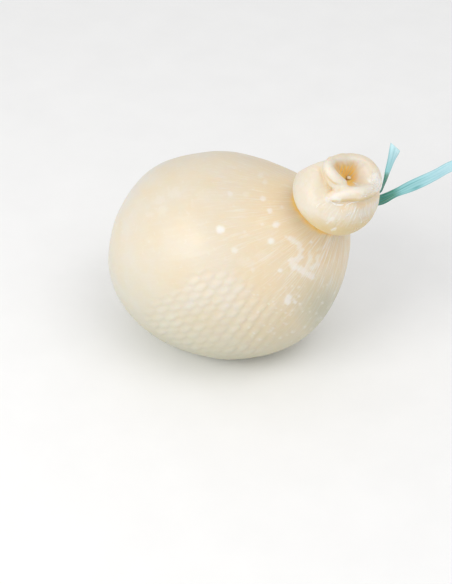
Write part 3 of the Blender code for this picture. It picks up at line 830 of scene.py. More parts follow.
def lip_at(mouth_angle):
    """Distance, height and radius of the rolled lip at angles round the mouth."""
    table = np.array(LIP)
    places = np.radians(table[:, 0])
    count = len(places)
    wrapped = np.concatenate([places - 2 * math.pi, places, places + 2 * math.pi])
    turned = np.mod(mouth_angle - places[0], 2 * math.pi) + places[0]
    index = np.clip(np.searchsorted(wrapped, turned) - 1, count - 1, 2 * count)
    width = wrapped[index + 1] - wrapped[index]
    t = (turned - wrapped[index]) / width
    values = []
    for column in (1, 2, 3):
        row = np.tile(table[:, column], 3)
        slope = np.gradient(row, wrapped)
        leave, arrive = slope[index] * width, slope[index + 1] * width
        values.append(curve(row[index], leave, row[index + 1], arrive, t))
    return values


def pleat_wave(mouth_angle):
    """Pleats of the hollow: round ridges, sharp valleys, faint on the broad right side."""
    wander = 0.8 * np.sin(mouth_angle * 2.0 + 0.4) + 0.5 * np.sin(mouth_angle * 3.0 + 1.9)
    fold = np.abs(np.sin(0.5 * PLEATS * mouth_angle + wander)) ** 0.6
    uneven = 0.75 + 0.25 * np.sin(mouth_angle * 5.0 + 1.0)
    strength = 0.12 + 0.88 * smooth(0.75 - 0.9 * np.cos(mouth_angle + math.radians(45.0)))
    return (fold - 0.72) * strength * uneven


def press_flat(points):
    """Draw the surface in towards the head's middle on its flatter side."""
    flat = unit(on_head(FLAT_DIRECTION) - head_middle)
    out = points - head_middle
    nearness = out @ flat / np.linalg.norm(out, axis=1)
    cut = FLAT_CUT * smooth((nearness - 1.0 + FLAT_SPREAD) / FLAT_SPREAD)
    return head_middle + out * (1.0 - cut)[:, None]


def head_rings(angles, under, ball, roll, hollow):
    """Rings from the neck over the ball, round the rolled lip and down the hollow."""
    neck_out = round_neck(angles)
    mouth_angle = angles - MOUTH_ZERO
    out = np.cos(mouth_angle)[:, None] * mouth_across + np.sin(mouth_angle)[:, None] * mouth_over
    distance, height, radius = lip_at(mouth_angle)

    def ring_at(up, away):
        return head_middle + up[:, None] * mouth_axis + away[:, None] * out

    # the underside: a smooth sheet from the neck out to the ball
    ridges = gather_wave(angles + 0.12)
    reach = NECK_RADIUS + ridges * GATHER_DEPTH
    start = tie_middle + neck_along * NECK_HALF_LENGTH + reach[:, None] * neck_out
    belt_reach = HEAD_RADIUS * math.cos(BELT_LATITUDE)
    belt = head_middle + mouth_axis * HEAD_RADIUS * math.sin(BELT_LATITUDE) + belt_reach * out
    span = np.linalg.norm(belt - start, axis=1)[:, None]
    leave = (0.92 * neck_out + 0.40 * neck_along) * span * 1.15
    arrive = (-math.sin(BELT_LATITUDE) * out + math.cos(BELT_LATITUDE) * mouth_axis) * span * 1.25
    rings = [start - neck_along * 1.2 * NECK_HALF_LENGTH, start]
    for t in np.linspace(0.0, 1.0, under + 1)[1:] ** 1.2:
        sheet = curve(start, leave, belt, arrive, t)
        fold = ridges * GATHER_DEPTH * t * (1.0 - t) ** 2
        rings.append(press_flat(sheet + fold[:, None] * neck_out))

    # the ball: round up to its middle, then arching in to the crease under the lip
    for turn in np.linspace(BELT_LATITUDE, 0.0, 5)[1:]:
        ring = head_middle + HEAD_RADIUS * (math.sin(turn) * mouth_axis + math.cos(turn) * out)
        rings.append(press_flat(ring))
    front = 0.5 - 0.5 * np.sin(mouth_angle)
    start_turn = np.radians(-20.0 - 37.0 * smooth(front))
    crease = distance + radius * np.cos(start_turn)
    rise = height + radius * np.sin(start_turn)
    for turn in np.linspace(0.0, ARCH_END, ball + 1)[1:]:
        inward = (1.0 - math.cos(turn)) / (1.0 - math.cos(ARCH_END))
        away = HEAD_RADIUS + (crease - HEAD_RADIUS) * inward
        up = rise * math.sin(turn) / math.sin(ARCH_END)
        rings.append(press_flat(ring_at(up, away)))

    # the roll: part of a circle round its own middle, outer side to inner side
    overhang = smooth(0.5 - 0.5 * np.sin(mouth_angle + 0.35))
    end_turn = ROLL_END_BACK + (ROLL_END_FRONT - ROLL_END_BACK) * overhang
    for t in np.linspace(0.0, 1.0, roll + 1)[1:]:
        turn = start_turn + (end_turn - start_turn) * t
        rings.append(ring_at(height + radius * np.sin(turn), distance + radius * np.cos(turn)))

    # the hollow: each wall leaves the roll smoothly and falls ever more steeply to the floor
    rim = rings[-1]
    floor = on_head(HOLLOW_FLOOR)
    depth = (rim - floor) @ mouth_axis
    flat = rim - floor - depth[:, None] * mouth_axis
    reach = np.linalg.norm(flat, axis=1)
    broad = 1.0 + 0.8 * smooth(np.cos(mouth_angle - 0.2))
    leave = np.cos(end_turn)[:, None] * mouth_axis - np.sin(end_turn)[:, None] * out
    leave = leave * (broad * reach)[:, None]
    arrive = -0.9 * depth[:, None] * mouth_axis - 0.5 * flat
    pleats = pleat_wave(mouth_angle)
    for t in np.linspace(0.0, 1.0, hollow + 2)[1:-1]:
        wall = curve(rim, leave, floor, arrive, t)
        fold = PLEAT_DEPTH * math.sin(math.pi * min(1.0, 1.05 * t + 0.02)) ** 0.7
        rings.append(wall + (pleats * fold)[:, None] * (0.8 * mouth_axis - 0.6 * out))
    return rings


def loose_end(rows):
    """One loose end of the rolled lip, as a round tube that overlaps the head."""
    run = through([(*on_head(place), girth) for place, girth in rows], 60)
    return tube(run[:, :3], run[:, 3], sides=32, cap=10)


def apply_modifiers(obj):
    graph = bpy.context.evaluated_depsgraph_get()
    baked = bpy.data.meshes.new_from_object(obj.evaluated_get(graph))
    obj.modifiers.clear()
    obj.data = baked


# %% [markdown]
# The voxels have to be finer than the folds, and the softening takes away their steps.

# %% Melt the head together
HEAD_GRAIN = 0.00040
HEAD_SOFTENING = 14
head_sheet = skin(head_rings(full_turn(320), under=40, ball=50, roll=36, hollow=44))
head = mesh_object("cheese_head", [head_sheet, loose_end(FINGER), loose_end(FRONT_TAIL)])
melt = head.modifiers.new("melt", "REMESH")
melt.mode = "VOXEL"
melt.voxel_size = HEAD_GRAIN
soften = head.modifiers.new("soften", "SMOOTH")
soften.factor = 0.5
soften.iterations = HEAD_SOFTENING
apply_modifiers(head)
head.data.shade_smooth()
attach(head, "root")
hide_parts("cheese")
print("head", triangles(head), "triangles")

# %% [markdown]
# ### Fine relief of the head
#
# A voxel mesh has no rings, so the fine relief is worked out from where each point lies:
# its angle round the mouth and its height along the mouth's axis. Lengthwise fibres, pulled
# when the curd was tucked in, run down from the lip. Soft hills keep the ball from looking
# turned on a lathe.

# %% Relief of the head
def neighbour_mean(obj, values, times):
    """Each point's value averaged with its neighbours' again and again."""
    ends = read_rows(obj.data.edges, "vertices", 2, np.int32)
    count = len(obj.data.vertices)
    degree = np.maximum(np.bincount(ends.ravel(), minlength=count), 1)
    result = np.array(values, float).reshape(count, -1)
    for _ in range(times):
        columns = []
        for column in result.T:
            total = np.bincount(ends[:, 0], column[ends[:, 1]], count)
            total += np.bincount(ends[:, 1], column[ends[:, 0]], count)
            columns.append(total / degree)
        result = np.stack(columns, axis=1)
    return result


def depth_of_folds(obj, times):
    """How far each point lies below its smoothed surroundings, in metres."""
    points = get_points(obj)
    return ((neighbour_mean(obj, points, times) - points) * get_normals(obj)).sum(axis=1)


# a pucker: its half width in the picture, its strength, then the places it joins
PUCKERS = (
    (1.5, 0.4, ((320.0, 169.0), (322.5, 175.0), (326.0, 180.5), (331.0, 184.5))),
    (1.3, 0.8, ((341.0, 190.0), (336.0, 191.5), (331.0, 195.0), (327.0, 199.5))),
    (1.1, 0.5, ((332.0, 199.0), (327.0, 201.0), (321.0, 205.5))),
    (1.0, 0.4, ((329.0, 196.0), (323.0, 197.5), (317.0, 201.0))),
    (0.9, 0.4, ((320.0, 172.0), (315.0, 170.5), (311.0, 170.5))),
    (1.0, 0.4, ((327.0, 186.0), (322.0, 187.0), (316.0, 190.0))),
    (1.0, 0.5, ((337.0, 221.0), (336.0, 226.0), (332.0, 231.5))),
)


def from_line(across, down, start, finish):
    """Distance in the picture from a straight piece of line."""
    run = np.subtract(finish, start)
    share = ((across - start[0]) * run[0] + (down - start[1]) * run[1]) / (run @ run)
    share = np.clip(share, 0.0, 1.0)
    return np.hypot(across - start[0] - share * run[0], down - start[1] - share * run[1])


def strokes(across, down, table, edge, soft):
    """Strength of listed strokes; the edge says how many half widths each one reaches."""
    total = np.zeros(len(across))
    for width, strength, way in table:
        for start, finish in zip(way[:-1], way[1:]):
            far = from_line(across, down, start, finish) / width
            total = np.maximum(total, strength * smooth((edge - far) / soft))
    return total


head_points = get_points(head)
head_out = get_normals(head)
gap = head_points - head_middle
mouth_height = gap @ mouth_axis
mouth_turn = np.arctan2(gap @ mouth_over, gap @ mouth_across)
fibre_place = np.stack([10.0 * np.cos(mouth_turn), 10.0 * np.sin(mouth_turn), mouth_height / 0.010], -1)
fibre = hills(fibre_place, 1.0, 6) + 0.7 * hills(fibre_place * np.array([2.1, 2.1, 1.3]), 1.0, 7)
off_middle = np.linalg.norm(gap, axis=1)
under_lip = fade(mouth_height, 0.0185, -0.006) * fade(off_middle, 0.016, 0.004)
across_head, down_head = in_picture(head_points)
rough_side = fade(across_head, 318.0, 26.0) * fade(down_head, 196.0, 10.0)
pucker = strokes(across_head, down_head, PUCKERS, 1.3, 1.0) * (head_out @ towards > 0.0)
lift = 0.00016 * hills(head_points, 0.0065, 8) + 0.00005 * hills(head_points, 0.0024, 9)
lift += 0.00007 * fibre * under_lip * (0.35 + 0.65 * rough_side)
lift += 0.00003 * hills(head_points, 0.0011, 10)
lift -= 0.00028 * pucker
set_points(head, head_points + lift[:, None] * head_out)
print("head relief", round(1000.0 * np.ptp(lift), 2), "mm")

# %% [markdown]
# ## How deep each place lies
#
# In the folds of the curd, light bounces from wall to wall and each bounce takes out more
# blue, so the hollows glow orange. A renderer finds part of this by itself. The rest is
# painted from a measurement: from each point, rays are sent out to see how much of the sky
# the cheese itself hides. The number is kept on the mesh for the material to read.

# %% Openness
LOOKS = 44
HEAD_LOOK = 0.028                              # how far the rays go from the head
BODY_LOOK = 0.011                              # and from the body, where only contact counts
LOOK_START = 0.0007                            # a ray starts a little off the skin
GRAZING = 0.12                                 # and one that only grazes it isn't sent
rank = (np.arange(LOOKS) + 0.5) / LOOKS
spin = math.pi * (3.0 - math.sqrt(5.0)) * np.arange(LOOKS)
rim = np.sqrt(1.0 - (1.0 - 2.0 * rank) ** 2)
look_out = np.stack([rim * np.cos(spin), rim * np.sin(spin), 1.0 - 2.0 * rank], -1)
looks = [Vector(look) for look in look_out]


def polygons(obj, first):
    return [[first + i for i in p.vertices] for p in obj.data.polygons]


both = np.vstack([get_points(body), get_points(head)])
cheese_tree = BVHTree.FromPolygons(
    both.tolist(), polygons(body, 0) + polygons(head, len(body.data.vertices)))


def hidden_share(points, normals, reach):
    """How much of the view from each point the cheese hides, from 0 to 1."""
    share = np.zeros(len(points))
    faces_it = normals @ look_out.T
    starts = points + LOOK_START * normals
    for i, start in enumerate(starts.tolist()):
        total = 0.0
        for j in np.flatnonzero(faces_it[i] > GRAZING):
            found = cheese_tree.ray_cast(start, looks[j], reach)[3]
            if found is not None:
                total += faces_it[i, j] * (1.0 - 0.6 * found / reach)
        share[i] = total / faces_it[i][faces_it[i] > GRAZING].sum()
    return share


head_points = get_points(head)
head_out = get_normals(head)
head_hidden = neighbour_mean(head, hidden_share(head_points, head_out, HEAD_LOOK), 2)[:, 0]
body_mesh_points = get_points(body)
body_mesh_out = get_normals(body)
body_hidden = np.zeros(len(body_mesh_points))
from_head = np.linalg.norm(body_mesh_points - head_middle, axis=1) - HEAD_RADIUS
near = np.flatnonzero(from_head < BODY_LOOK)
body_hidden[near] = hidden_share(body_mesh_points[near], body_mesh_out[near], BODY_LOOK)
body_hidden = neighbour_mean(body, body_hidden, 2)[:, 0]
print("deepest place of the head sees", round(1.0 - head_hidden.max(), 2), "of the sky")

# %% [markdown]
# ## White bloom
#
# Where whey dried or the surface rubbed, the skin is white: round drops, a branching patch
# towards the neck, faint smears, and a dust of specks low on the side. They were
# placed in the picture, and each paints the points of the mesh that lie under it and
# face the eye. The far side gets its own drops at seeded random places.

# %% Bloom
# a drop or a smear: its place across and down the picture, its radius and its strength
DROPS = (
    (220.0, 229.5, 4.0, 0.70), (271.0, 241.0, 3.2, 0.62), (276.0, 224.6, 3.2, 0.58),
    (270.0, 211.0, 2.6, 0.55), (282.0, 207.0, 1.8, 0.39), (263.0, 198.6, 2.8, 0.47),
    (230.0, 194.0, 2.6, 0.31), (235.0, 250.0, 3.0, 0.43), (280.0, 270.5, 2.0, 0.55),
    (253.0, 270.0, 2.0, 0.23), (244.5, 232.0, 1.6, 0.23), (287.3, 301.0, 3.4, 0.62),
    (289.0, 297.0, 3.0, 0.62), (295.0, 302.0, 1.8, 0.55), (299.0, 296.0, 1.6, 0.47),
    (300.0, 304.0, 1.5, 0.47), (293.8, 299.8, 1.4, 0.39), (298.9, 287.0, 1.5, 0.39),
    (286.0, 236.8, 1.8, 0.43), (262.3, 224.4, 1.4, 0.31), (311.0, 242.0, 1.5, 0.70),
    (246.0, 194.5, 3.0, 0.17), (260.6, 175.6, 2.8, 0.23), (264.9, 181.6, 2.6, 0.23),
)
SMEARS = (
    (173.0, 193.5, 6.0, 0.15), (159.4, 201.0, 5.0, 0.14), (162.0, 210.5, 4.5, 0.17),
    (149.6, 214.4, 3.4, 0.15), (149.2, 240.2, 4.0, 0.12), (188.0, 222.0, 9.0, 0.07),
    (246.0, 262.0, 6.0, 0.14), (262.0, 256.0, 6.0, 0.14), (205.0, 196.0, 7.0, 0.07),
)
# a stroke of the branching patch: its half width and strength, then the places it joins
BRANCH = (
    (3.2, 0.46, ((290.0, 238.6), (297.0, 243.6), (301.4, 250.7), (298.6, 257.9), (291.5, 260.7))),
    (3.5, 0.50, ((291.5, 261.5), (295.5, 267.4), (303.5, 271.6), (312.5, 276.8))),
    (2.4, 0.34, ((305.5, 271.0), (309.0, 264.0), (310.2, 258.0), (308.8, 252.5))),
    (2.6, 0.42, ((312.0, 268.0), (317.6, 263.5), (317.9, 255.7))),
    (1.6, 0.24, ((318.0, 250.0), (325.0, 246.0), (330.0, 240.0))),
)
SPECKS = 110
SPECKS_ACROSS = (246.0, 338.0)
SPECKS_DOWN = (284.0, 346.0)
FAR_DROPS = 34


def raggedness(points, seed):
    """What makes the edges of the white marks uneven."""
    return 0.35 * hills(points, 0.0022, seed) + 0.25 * hills(points, 0.0009, seed + 1)


body_across, body_down = in_picture(body_mesh_points)
ragged = raggedness(body_mesh_points, 11)
bloom = strokes(body_across, body_down, BRANCH, 1.35 + 1.5 * ragged, 0.9)
for marks, longer, edge, soft in ((DROPS, 1.0, 1.45 + 0.7 * ragged, 0.9),
                                  (SMEARS, 1.5, 1.35 + 1.3 * ragged, 1.0)):
    for across, down, radius, strength in marks:
        far = np.hypot((body_across - across) / longer, body_down - down) / radius
        bloom = np.maximum(bloom, strength * smooth((edge - far) / soft))
for _ in range(SPECKS):
    across, down = rng.uniform(*SPECKS_ACROSS), rng.uniform(*SPECKS_DOWN)
    far = np.hypot(body_across - across, body_down - down) / rng.uniform(0.7, 1.5)
    bloom = np.maximum(bloom, rng.uniform(0.12, 0.42) * smooth(1.4 - far))
bloom = bloom * (body_mesh_out @ towards > 0.0)
far_side = np.flatnonzero((body_mesh_out @ towards < -0.05) & (body_mesh_points[:, 2] > 0.012))
for _ in range(FAR_DROPS):
    place = body_mesh_points[rng.choice(far_side)]
    far = np.linalg.norm(body_mesh_points - place, axis=1) / rng.uniform(0.0008, 0.0024)
    bloom = np.maximum(bloom, rng.uniform(0.3, 0.8) * smooth((1.2 + 0.6 * ragged - far) / 0.6))
print("bloom covers", round(100.0 * (bloom > 0.3).mean(), 2), "percent of the body")

# %% [markdown]
# ### Tone and painted shade
#
# The curd isn't one cream: the stretched skin near the neck is drier and peachy, the blunt
# end is milky, and the mat's imprint is a little whiter on its crests. Shade is painted in
# too: peach next to the head, orange in the head's hollow, folds and underside, and a greenish
# shade low on the body; painted light keeps the hollow's right inner wall pale. Each of these
# is one number for each point.

# %% Tones and painted shade of the body and head
# strokes on the head, the warm ones painted shade in creases, under the front roll and inside the back
# rim: half width in the picture, strength, then the places it joins
WARM_SHADE_STROKES = (
    (4.5, 0.85, ((342.0, 206.5), (352.0, 205.5), (362.0, 203.0), (371.0, 199.5), (379.0, 192.0))),
    (2.6, 0.35, ((319.0, 169.0), (323.0, 176.0), (328.0, 182.5))),
    (2.0, 0.35, ((340.0, 189.5), (333.0, 192.0), (327.0, 198.0))),
    (4.2, 0.55, ((328.0, 157.0), (340.0, 153.0), (352.0, 152.5), (364.0, 157.0), (373.0, 165.0))),
)
WHITE = (
    (5.2, 0.25, ((326.0, 164.0), (329.0, 172.0), (335.0, 179.0), (343.0, 185.5))),
    (5.4, 0.40, ((336.0, 194.5), (346.0, 191.0), (358.0, 189.5), (370.0, 189.0))),
    (3.4, 0.75, ((371.0, 180.0), (375.0, 176.0), (378.5, 182.0), (377.0, 189.0))),
    (3.0, 0.55, ((327.0, 199.5), (333.0, 198.0), (339.0, 200.0))),
    (1.8, 0.45, ((327.0, 223.0), (330.0, 220.0), (333.0, 218.5))),
    (1.6, 0.50, ((331.5, 230.3), (335.5, 228.5))),
    (9.0, 0.16, ((300.0, 184.0), (303.0, 200.0), (313.0, 212.0))),
)
# the body: peachy toward the neck and toward the right, with painted peach shade next to the head and
# painted greenish shade low down and on its lower right
height = body_mesh_points[:, 2]
ring_x = np.append(along_axis, [-POLE_LENGTH, SHOULDER_LENGTH])
tone = 0.08 + 0.30 * fade(ring_x, -0.050, 0.085) + 0.42 * fade(body_across, 205.0, 70.0)
tone += 0.14 * hills(body_mesh_points, 0.034, 13) + 0.10 * hills(body_mesh_points, 0.012, 14)
# painted peach shade in the crease next to the head
tone += 0.50 * fade(from_head, 0.022, -0.020)
# painted shade, tinted green as a painted reflection, darker toward the bottom and the lower right
low = 0.45 * fade(height, 0.085, -0.050) + 0.55 * fade(height, 0.050, -0.050)
shade_low_right = fade(body_across, 270.0, 60.0) * fade(body_down, 262.0, 50.0)
grain = (streak_place * np.array([1.0, 1.0, 2.2])).reshape(-1, 3)
# hidden paints an orange glow in the crease next to the head, standing in for shade and bounced light
# there
keep_values(body, tone=np.clip(tone, 0.0, 1.0), hidden=0.72 * fade(body_hidden, 0.080, 0.110),
            bloom=bloom, crest=np.append(bumps * imprint_share, [0.0, 0.0]),
            low=np.maximum(low, shade_low_right), drawn=np.append(drawn, [0.0, 1.0]),
            grain=np.vstack([grain, np.zeros((2, 3))]))

# the head: painted orange shade and bounce glow in its hollow, in its folds and on its underside, less
# of it on the lit right wall
folds = depth_of_folds(head, 12)
shaded_underside = fade(head_out[:, 2], 0.08, -0.50)
valley = smooth(0.5 - 3.2 * pleat_wave(mouth_turn))
across_head, down_head = in_picture(head_points)
in_hollow = fade(head_hidden, 0.20, 0.30) * fade(across_head, 331.0, 5.0)
lit_right_wall = fade(across_head, 351.0, 9.0) * fade(head_hidden, 0.08, 0.12)
painted_orange = in_hollow * np.clip(0.44 + 0.40 * fibre + 0.75 * valley, 0.0, 1.0)
painted_orange = painted_orange * (1.0 - 0.75 * lit_right_wall)
fold_shade = 0.20 * fade(folds, 0.00012, 0.0003) * (1.0 - in_hollow)
painted_orange = np.maximum(np.maximum(painted_orange, fold_shade), 0.36 * shaded_underside)

# and peachy painted shade where it's hidden, on its underside and along the warm strokes; white where
# it's stroked white or rubbed
facing_eye = head_out @ towards > -0.1
edge = 1.3 + raggedness(head_points, 18)
warm_shade, white = (strokes(across_head, down_head, marks, edge, 0.9) * facing_eye
               for marks in (WARM_SHADE_STROKES, WHITE))
head_tone = 0.28 + 0.22 * hills(head_points, 0.018, 15) + 0.12 * hills(head_points, 0.007, 16)
head_tone += 0.85 * fade(head_hidden, 0.05, 0.22) * (1.0 - 0.7 * lit_right_wall)
head_tone += 0.70 * shaded_underside + warm_shade
rubbed = smooth(-folds / 0.00016) * (1.0 - smooth(head_hidden / 0.2)) * (1.0 - shaded_underside)
# painted light: the right inner wall of the hollow is kept pale and whitened
head_bloom_and_light = np.maximum(0.05, white * (1.0 - in_hollow)) + 0.30 * lit_right_wall + 0.08 * rubbed
keep_values(head, tone=np.clip(head_tone, 0.0, 1.0), hidden=painted_orange, bloom=head_bloom_and_light,
            crest=np.zeros(len(head_points)), low=shaded_underside,
            drawn=0.75 * under_lip * (0.10 + 0.90 * rough_side),
            grain=fibre_place * np.array([0.05, 0.05, 0.04]))

# %% [markdown]
# ## Shreds and crumbs
#
# Tucking in the curd tears it a little. A few white shreds cling under the lip, one lies in
# the mouth beside a round crumb, and the right rim has crumbled. Paint would look flat here,
# so each is a tiny solid: a shred is a thin tapered tube laid on the surface that the line
# of sight meets, and a crumb is a dented ball.

# %% Shreds and crumbs
# a shred: half width of a strand in millimetres, number of strands, the places it joins
SHREDS = (
    (0.34, 4, ((328.5, 200.2), (332.0, 202.4), (335.5, 204.4), (340.0, 205.2), (344.5, 204.6))),
    (0.26, 3, ((344.8, 207.8), (347.0, 205.2), (350.0, 202.8), (354.5, 202.2), (359.0, 202.0))),
    (0.26, 3, ((353.5, 213.5), (355.0, 210.0), (356.2, 206.6))),
    (0.20, 2, ((356.5, 212.5), (357.8, 209.5), (359.0, 207.5))),
    (0.20, 3, ((345.5, 216.3), (349.0, 213.8), (352.0, 211.6))),
    (0.16, 2, ((315.5, 207.2), (318.5, 204.6), (320.5, 203.8))),
    (0.16, 2, ((322.8, 205.4), (326.0, 203.2))),
    (0.12, 2, ((341.2, 209.0), (341.8, 213.6))),
    (0.12, 2, ((364.0, 206.5), (365.0, 211.0), (366.0, 216.5))),
    (0.12, 2, ((359.5, 215.0), (361.0, 219.5), (361.5, 223.5))),
    (0.14, 2, ((331.5, 230.2), (335.5, 228.2))),
    (0.42, 3, ((352.6, 182.2), (355.4, 184.0), (358.6, 185.6))),
)
BRISTLES = 22
RIM_CRUMBS = 130
EDGE_CRUMBS = 34
HEAD_IN_PICTURE = np.array([338.0, 195.0])


def on_curd(across, down):
    """The place on the cheese that the line of sight meets, and its outward direction.

    A line that just misses the outline is tried again a little nearer the head's middle.
    """
    spot, place = np.array([across, down]), None
    while place is None:
        place, facing_out, _, _ = cheese_tree.ray_cast(Vector(eye), Vector(sight_line(*spot)))
        spot = spot + 0.02 * (HEAD_IN_PICTURE - spot)
    facing_out = np.array(facing_out)
    return np.array(place), facing_out if facing_out @ towards > 0.0 else -facing_out


def strand(girth, way):
    """One torn fibre along a way in the picture: lumpy, bent and half sunk in the curd."""
    nudge = rng.uniform(-0.7, 0.7, (len(way), 2))
    cut = rng.uniform(0.0, 0.22, 2)
    route = through(np.array(way) + nudge, 30)
    route = route[int(30 * cut[0]):30 - int(30 * cut[1])]
    met = [on_curd(across, down) for across, down in route]
    lumpy = 0.65 + 0.35 * hills(np.array([place for place, _ in met]), 0.0006, int(rng.integers(90)))
    ends = np.sin(math.pi * np.linspace(0.05, 0.95, len(met))) ** 0.6
    thin = 0.001 * girth * rng.uniform(0.6, 1.1) * lumpy * (0.25 + 0.75 * ends)
    rise = thin * rng.uniform(-0.1, 0.5)
    places = np.array([place + up * facing_out for (place, facing_out), up in zip(met, rise)])
    return tube(places, thin, sides=8, cap=3)


def bristle(across, down):
    """A hair of curd that stands off the skin."""
    place, facing_out = on_curd(across, down)
    lean = unit(facing_out + 0.7 * rng.uniform(-1.0, 1.0, 3))
    reach = np.linspace(-0.1, 1.0, 7)[:, None] * rng.uniform(0.0003, 0.0006)
    bend = 0.4 * reach ** 2 / 0.001 * rng.uniform(-1.0, 1.0, 3)
    girth = np.linspace(0.00011, 0.00004, len(reach))
    return tube(place + reach * lean + bend, girth, sides=6, cap=2)


shred_bodies = []
for girth, strands_in_it, way in SHREDS:
    for _ in range(strands_in_it):
        shred_bodies.append(strand(girth, way))
for _ in range(BRISTLES):
    share = rng.uniform(0.0, 1.0)
    across = 352.0 + 23.0 * share + rng.uniform(-1.5, 0.5)
    shred_bodies.append(bristle(across, 231.0 - 17.0 * share ** 1.5 + rng.uniform(-5.0, 0.0)))
shreds = mesh_object("curd_shreds", shred_bodies)
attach(shreds, "root")

ball = bmesh.new()
bmesh.ops.create_icosphere(ball, subdivisions=3, radius=1.0)
ball_corners = np.array([corner.co[:] for corner in ball.verts])
ball_faces = [[corner.index for corner in face.verts] for face in ball.faces]
ball.free()


def crumb(across, down, radius, seed, stretch_by=0.0):
    """A dented grain at a place in the picture; a stretched one is mostly sunk in the curd."""
    place, facing_out = on_curd(across, down)
    dents = 1.0 + 0.30 * hills(ball_corners + 3.0 * seed, 0.9, 17)
    dents += 0.20 * hills(ball_corners, 0.45, seed)
    longer = 1.0 + stretch_by * rng.uniform(-0.4, 1.0, 3)
    corners = ball_corners * dents[:, None] * radius * longer
    return corners + place + (0.55 - 0.85 * stretch_by) * radius * facing_out, ball_faces


crumb_bodies = [crumb(348.9, 177.0, 0.00105, 1)]
for i in range(RIM_CRUMBS):
    turn, reach = rng.uniform(0.0, 2.0 * math.pi), math.sqrt(rng.uniform(0.0, 1.0))
    across = 374.6 + 4.4 * reach * math.cos(turn)
    down = 181.0 + 9.0 * reach * math.sin(turn)
    crumb_bodies.append(crumb(across, down, rng.uniform(0.00010, 0.00030), i + 2, 0.9))
for i in range(EDGE_CRUMBS):
    share = i / EDGE_CRUMBS
    across = 379.5 - 19.0 * share + rng.uniform(-1.0, 1.0)
    down = 187.0 + 9.5 * share ** 0.7 + rng.uniform(-1.6, 1.6)
    crumb_bodies.append(crumb(across, down, rng.uniform(0.00010, 0.00028), i + 70, 0.8))
crumbs = mesh_object("curd_crumbs", crumb_bodies)
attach(crumbs, "root")
print(len(shred_bodies), "shreds and", len(crumb_bodies), "crumbs")

# %% [markdown]
# ## Materials
#
# Each material is a small node tree. A few helpers keep it readable: one reads a number kept
# on the mesh, others make noise, stretch a range of numbers, reckon with two numbers, mix two
# colours, or turn heights into fine bumps. All of them set a node's inputs the same way.

# %% Node helpers
def new_material(name):
    material = bpy.data.materials.new(name)
    material.use_nodes = True
    return material, material.node_tree, material.node_tree.nodes["Principled BSDF"]


def set_inputs(tree, node, values):
    """Set each input to a plain value, or link another node's output to it."""
    for name, value in values.items():
        if isinstance(value, (float, tuple)):
            node.inputs[name].default_value = value
        else:
            tree.links.new(value, node.inputs[name])
    return node.outputs


def kept(tree, name, output="Fac"):
    reader = tree.nodes.new("ShaderNodeAttribute")
    reader.attribute_name = name
    return reader.outputs[output]


def noise(tree, place, scale, detail=3.0):
    node = tree.nodes.new("ShaderNodeTexNoise")
    return set_inputs(tree, node, {"Vector": place, "Scale": scale, "Detail": detail})["Fac"]


def stretch(tree, value, low, high, to_low=0.0, to_high=1.0):
    node = tree.nodes.new("ShaderNodeMapRange")
    ends = {"From Min": low, "From Max": high, "To Min": to_low, "To Max": to_high}
    return set_inputs(tree, node, {"Value": value, **ends})["Result"]


def reckon(tree, operation, first, second):
    node = tree.nodes.new("ShaderNodeMath")
    node.operation = operation
    return set_inputs(tree, node, {0: first, 1: second})[0]


def mixed(tree, share, first, second):
    node = tree.nodes.new("ShaderNodeMix")
    node.data_type = "RGBA"
    return set_inputs(tree, node, {0: share, 6: first, 7: second})[2]


def bumped(tree, height, strength, distance, before=None):
    node = tree.nodes.new("ShaderNodeBump")
    values = {"Height": height, "Strength": strength, "Distance": distance}
    if before is not None:
        values["Normal"] = before
    return set_inputs(tree, node, values)["Normal"]


# %% [markdown]
# ### The curd
#
# Stretched curd is dense and waxy. Light enters, scatters a few millimetres and comes out
# warmer, so the shader uses subsurface scattering with red travelling furthest. The surface
# is satin, neither wet nor dry: a broad soft gleam, rougher where the bloom has dried.

# %% Curd
MILKY = (0.735, 0.700, 0.622, 1.0)
CREAM = (0.745, 0.665, 0.515, 1.0)
PEACH = (0.790, 0.630, 0.405, 1.0)
PAINTED_GLOW = (1.000, 0.630, 0.110, 1.0)
LOW_SHADE = (0.440, 0.455, 0.345, 1.0)
WHITE_BLOOM = (0.870, 0.865, 0.850, 1.0)

curd, tree, shader = new_material("curd")
where = tree.nodes.new("ShaderNodeTexCoord").outputs["Object"]
strands = noise(tree, kept(tree, "grain", "Vector"), 46.0, 4.0)
drawn_strands = reckon(tree, "MULTIPLY", strands, kept(tree, "drawn"))
pale_strands = stretch(tree, strands, 0.50, 0.68, 0.0, 0.80)
colour = MILKY
# in turn: mottle, warm tone and painted peach shade, flecks, pale strands, crests,
# painted greenish shade low down, painted orange glow in hollows and creases, and bloom
for share, paint in (
        (stretch(tree, noise(tree, where, 55.0, 4.0), 0.35, 0.68), CREAM),
        (stretch(tree, kept(tree, "tone"), 0.0, 1.0, 0.0, 0.85), PEACH),
        (stretch(tree, noise(tree, where, 420.0, 2.0), 0.60, 0.78, 0.0, 0.16), WHITE_BLOOM),
        (reckon(tree, "MULTIPLY", pale_strands, kept(tree, "drawn")), WHITE_BLOOM),
        (stretch(tree, kept(tree, "crest"), 0.2, 1.0, 0.0, 0.20), WHITE_BLOOM),
        (stretch(tree, kept(tree, "low"), 0.0, 1.0, 0.0, 0.75), LOW_SHADE),
        (kept(tree, "hidden"), PAINTED_GLOW),
        (kept(tree, "bloom"), WHITE_BLOOM)):
    colour = mixed(tree, share, colour, paint)
wear = reckon(tree, "MULTIPLY", kept(tree, "bloom"), 0.22)
gloss = stretch(tree, noise(tree, where, 130.0), 0.3, 0.7, 0.35, 0.45)
bumps_normal = bumped(tree, drawn_strands, 0.40, 0.0006)
bumps_normal = bumped(tree, noise(tree, where, 900.0), 0.14, 0.0002, bumps_normal)
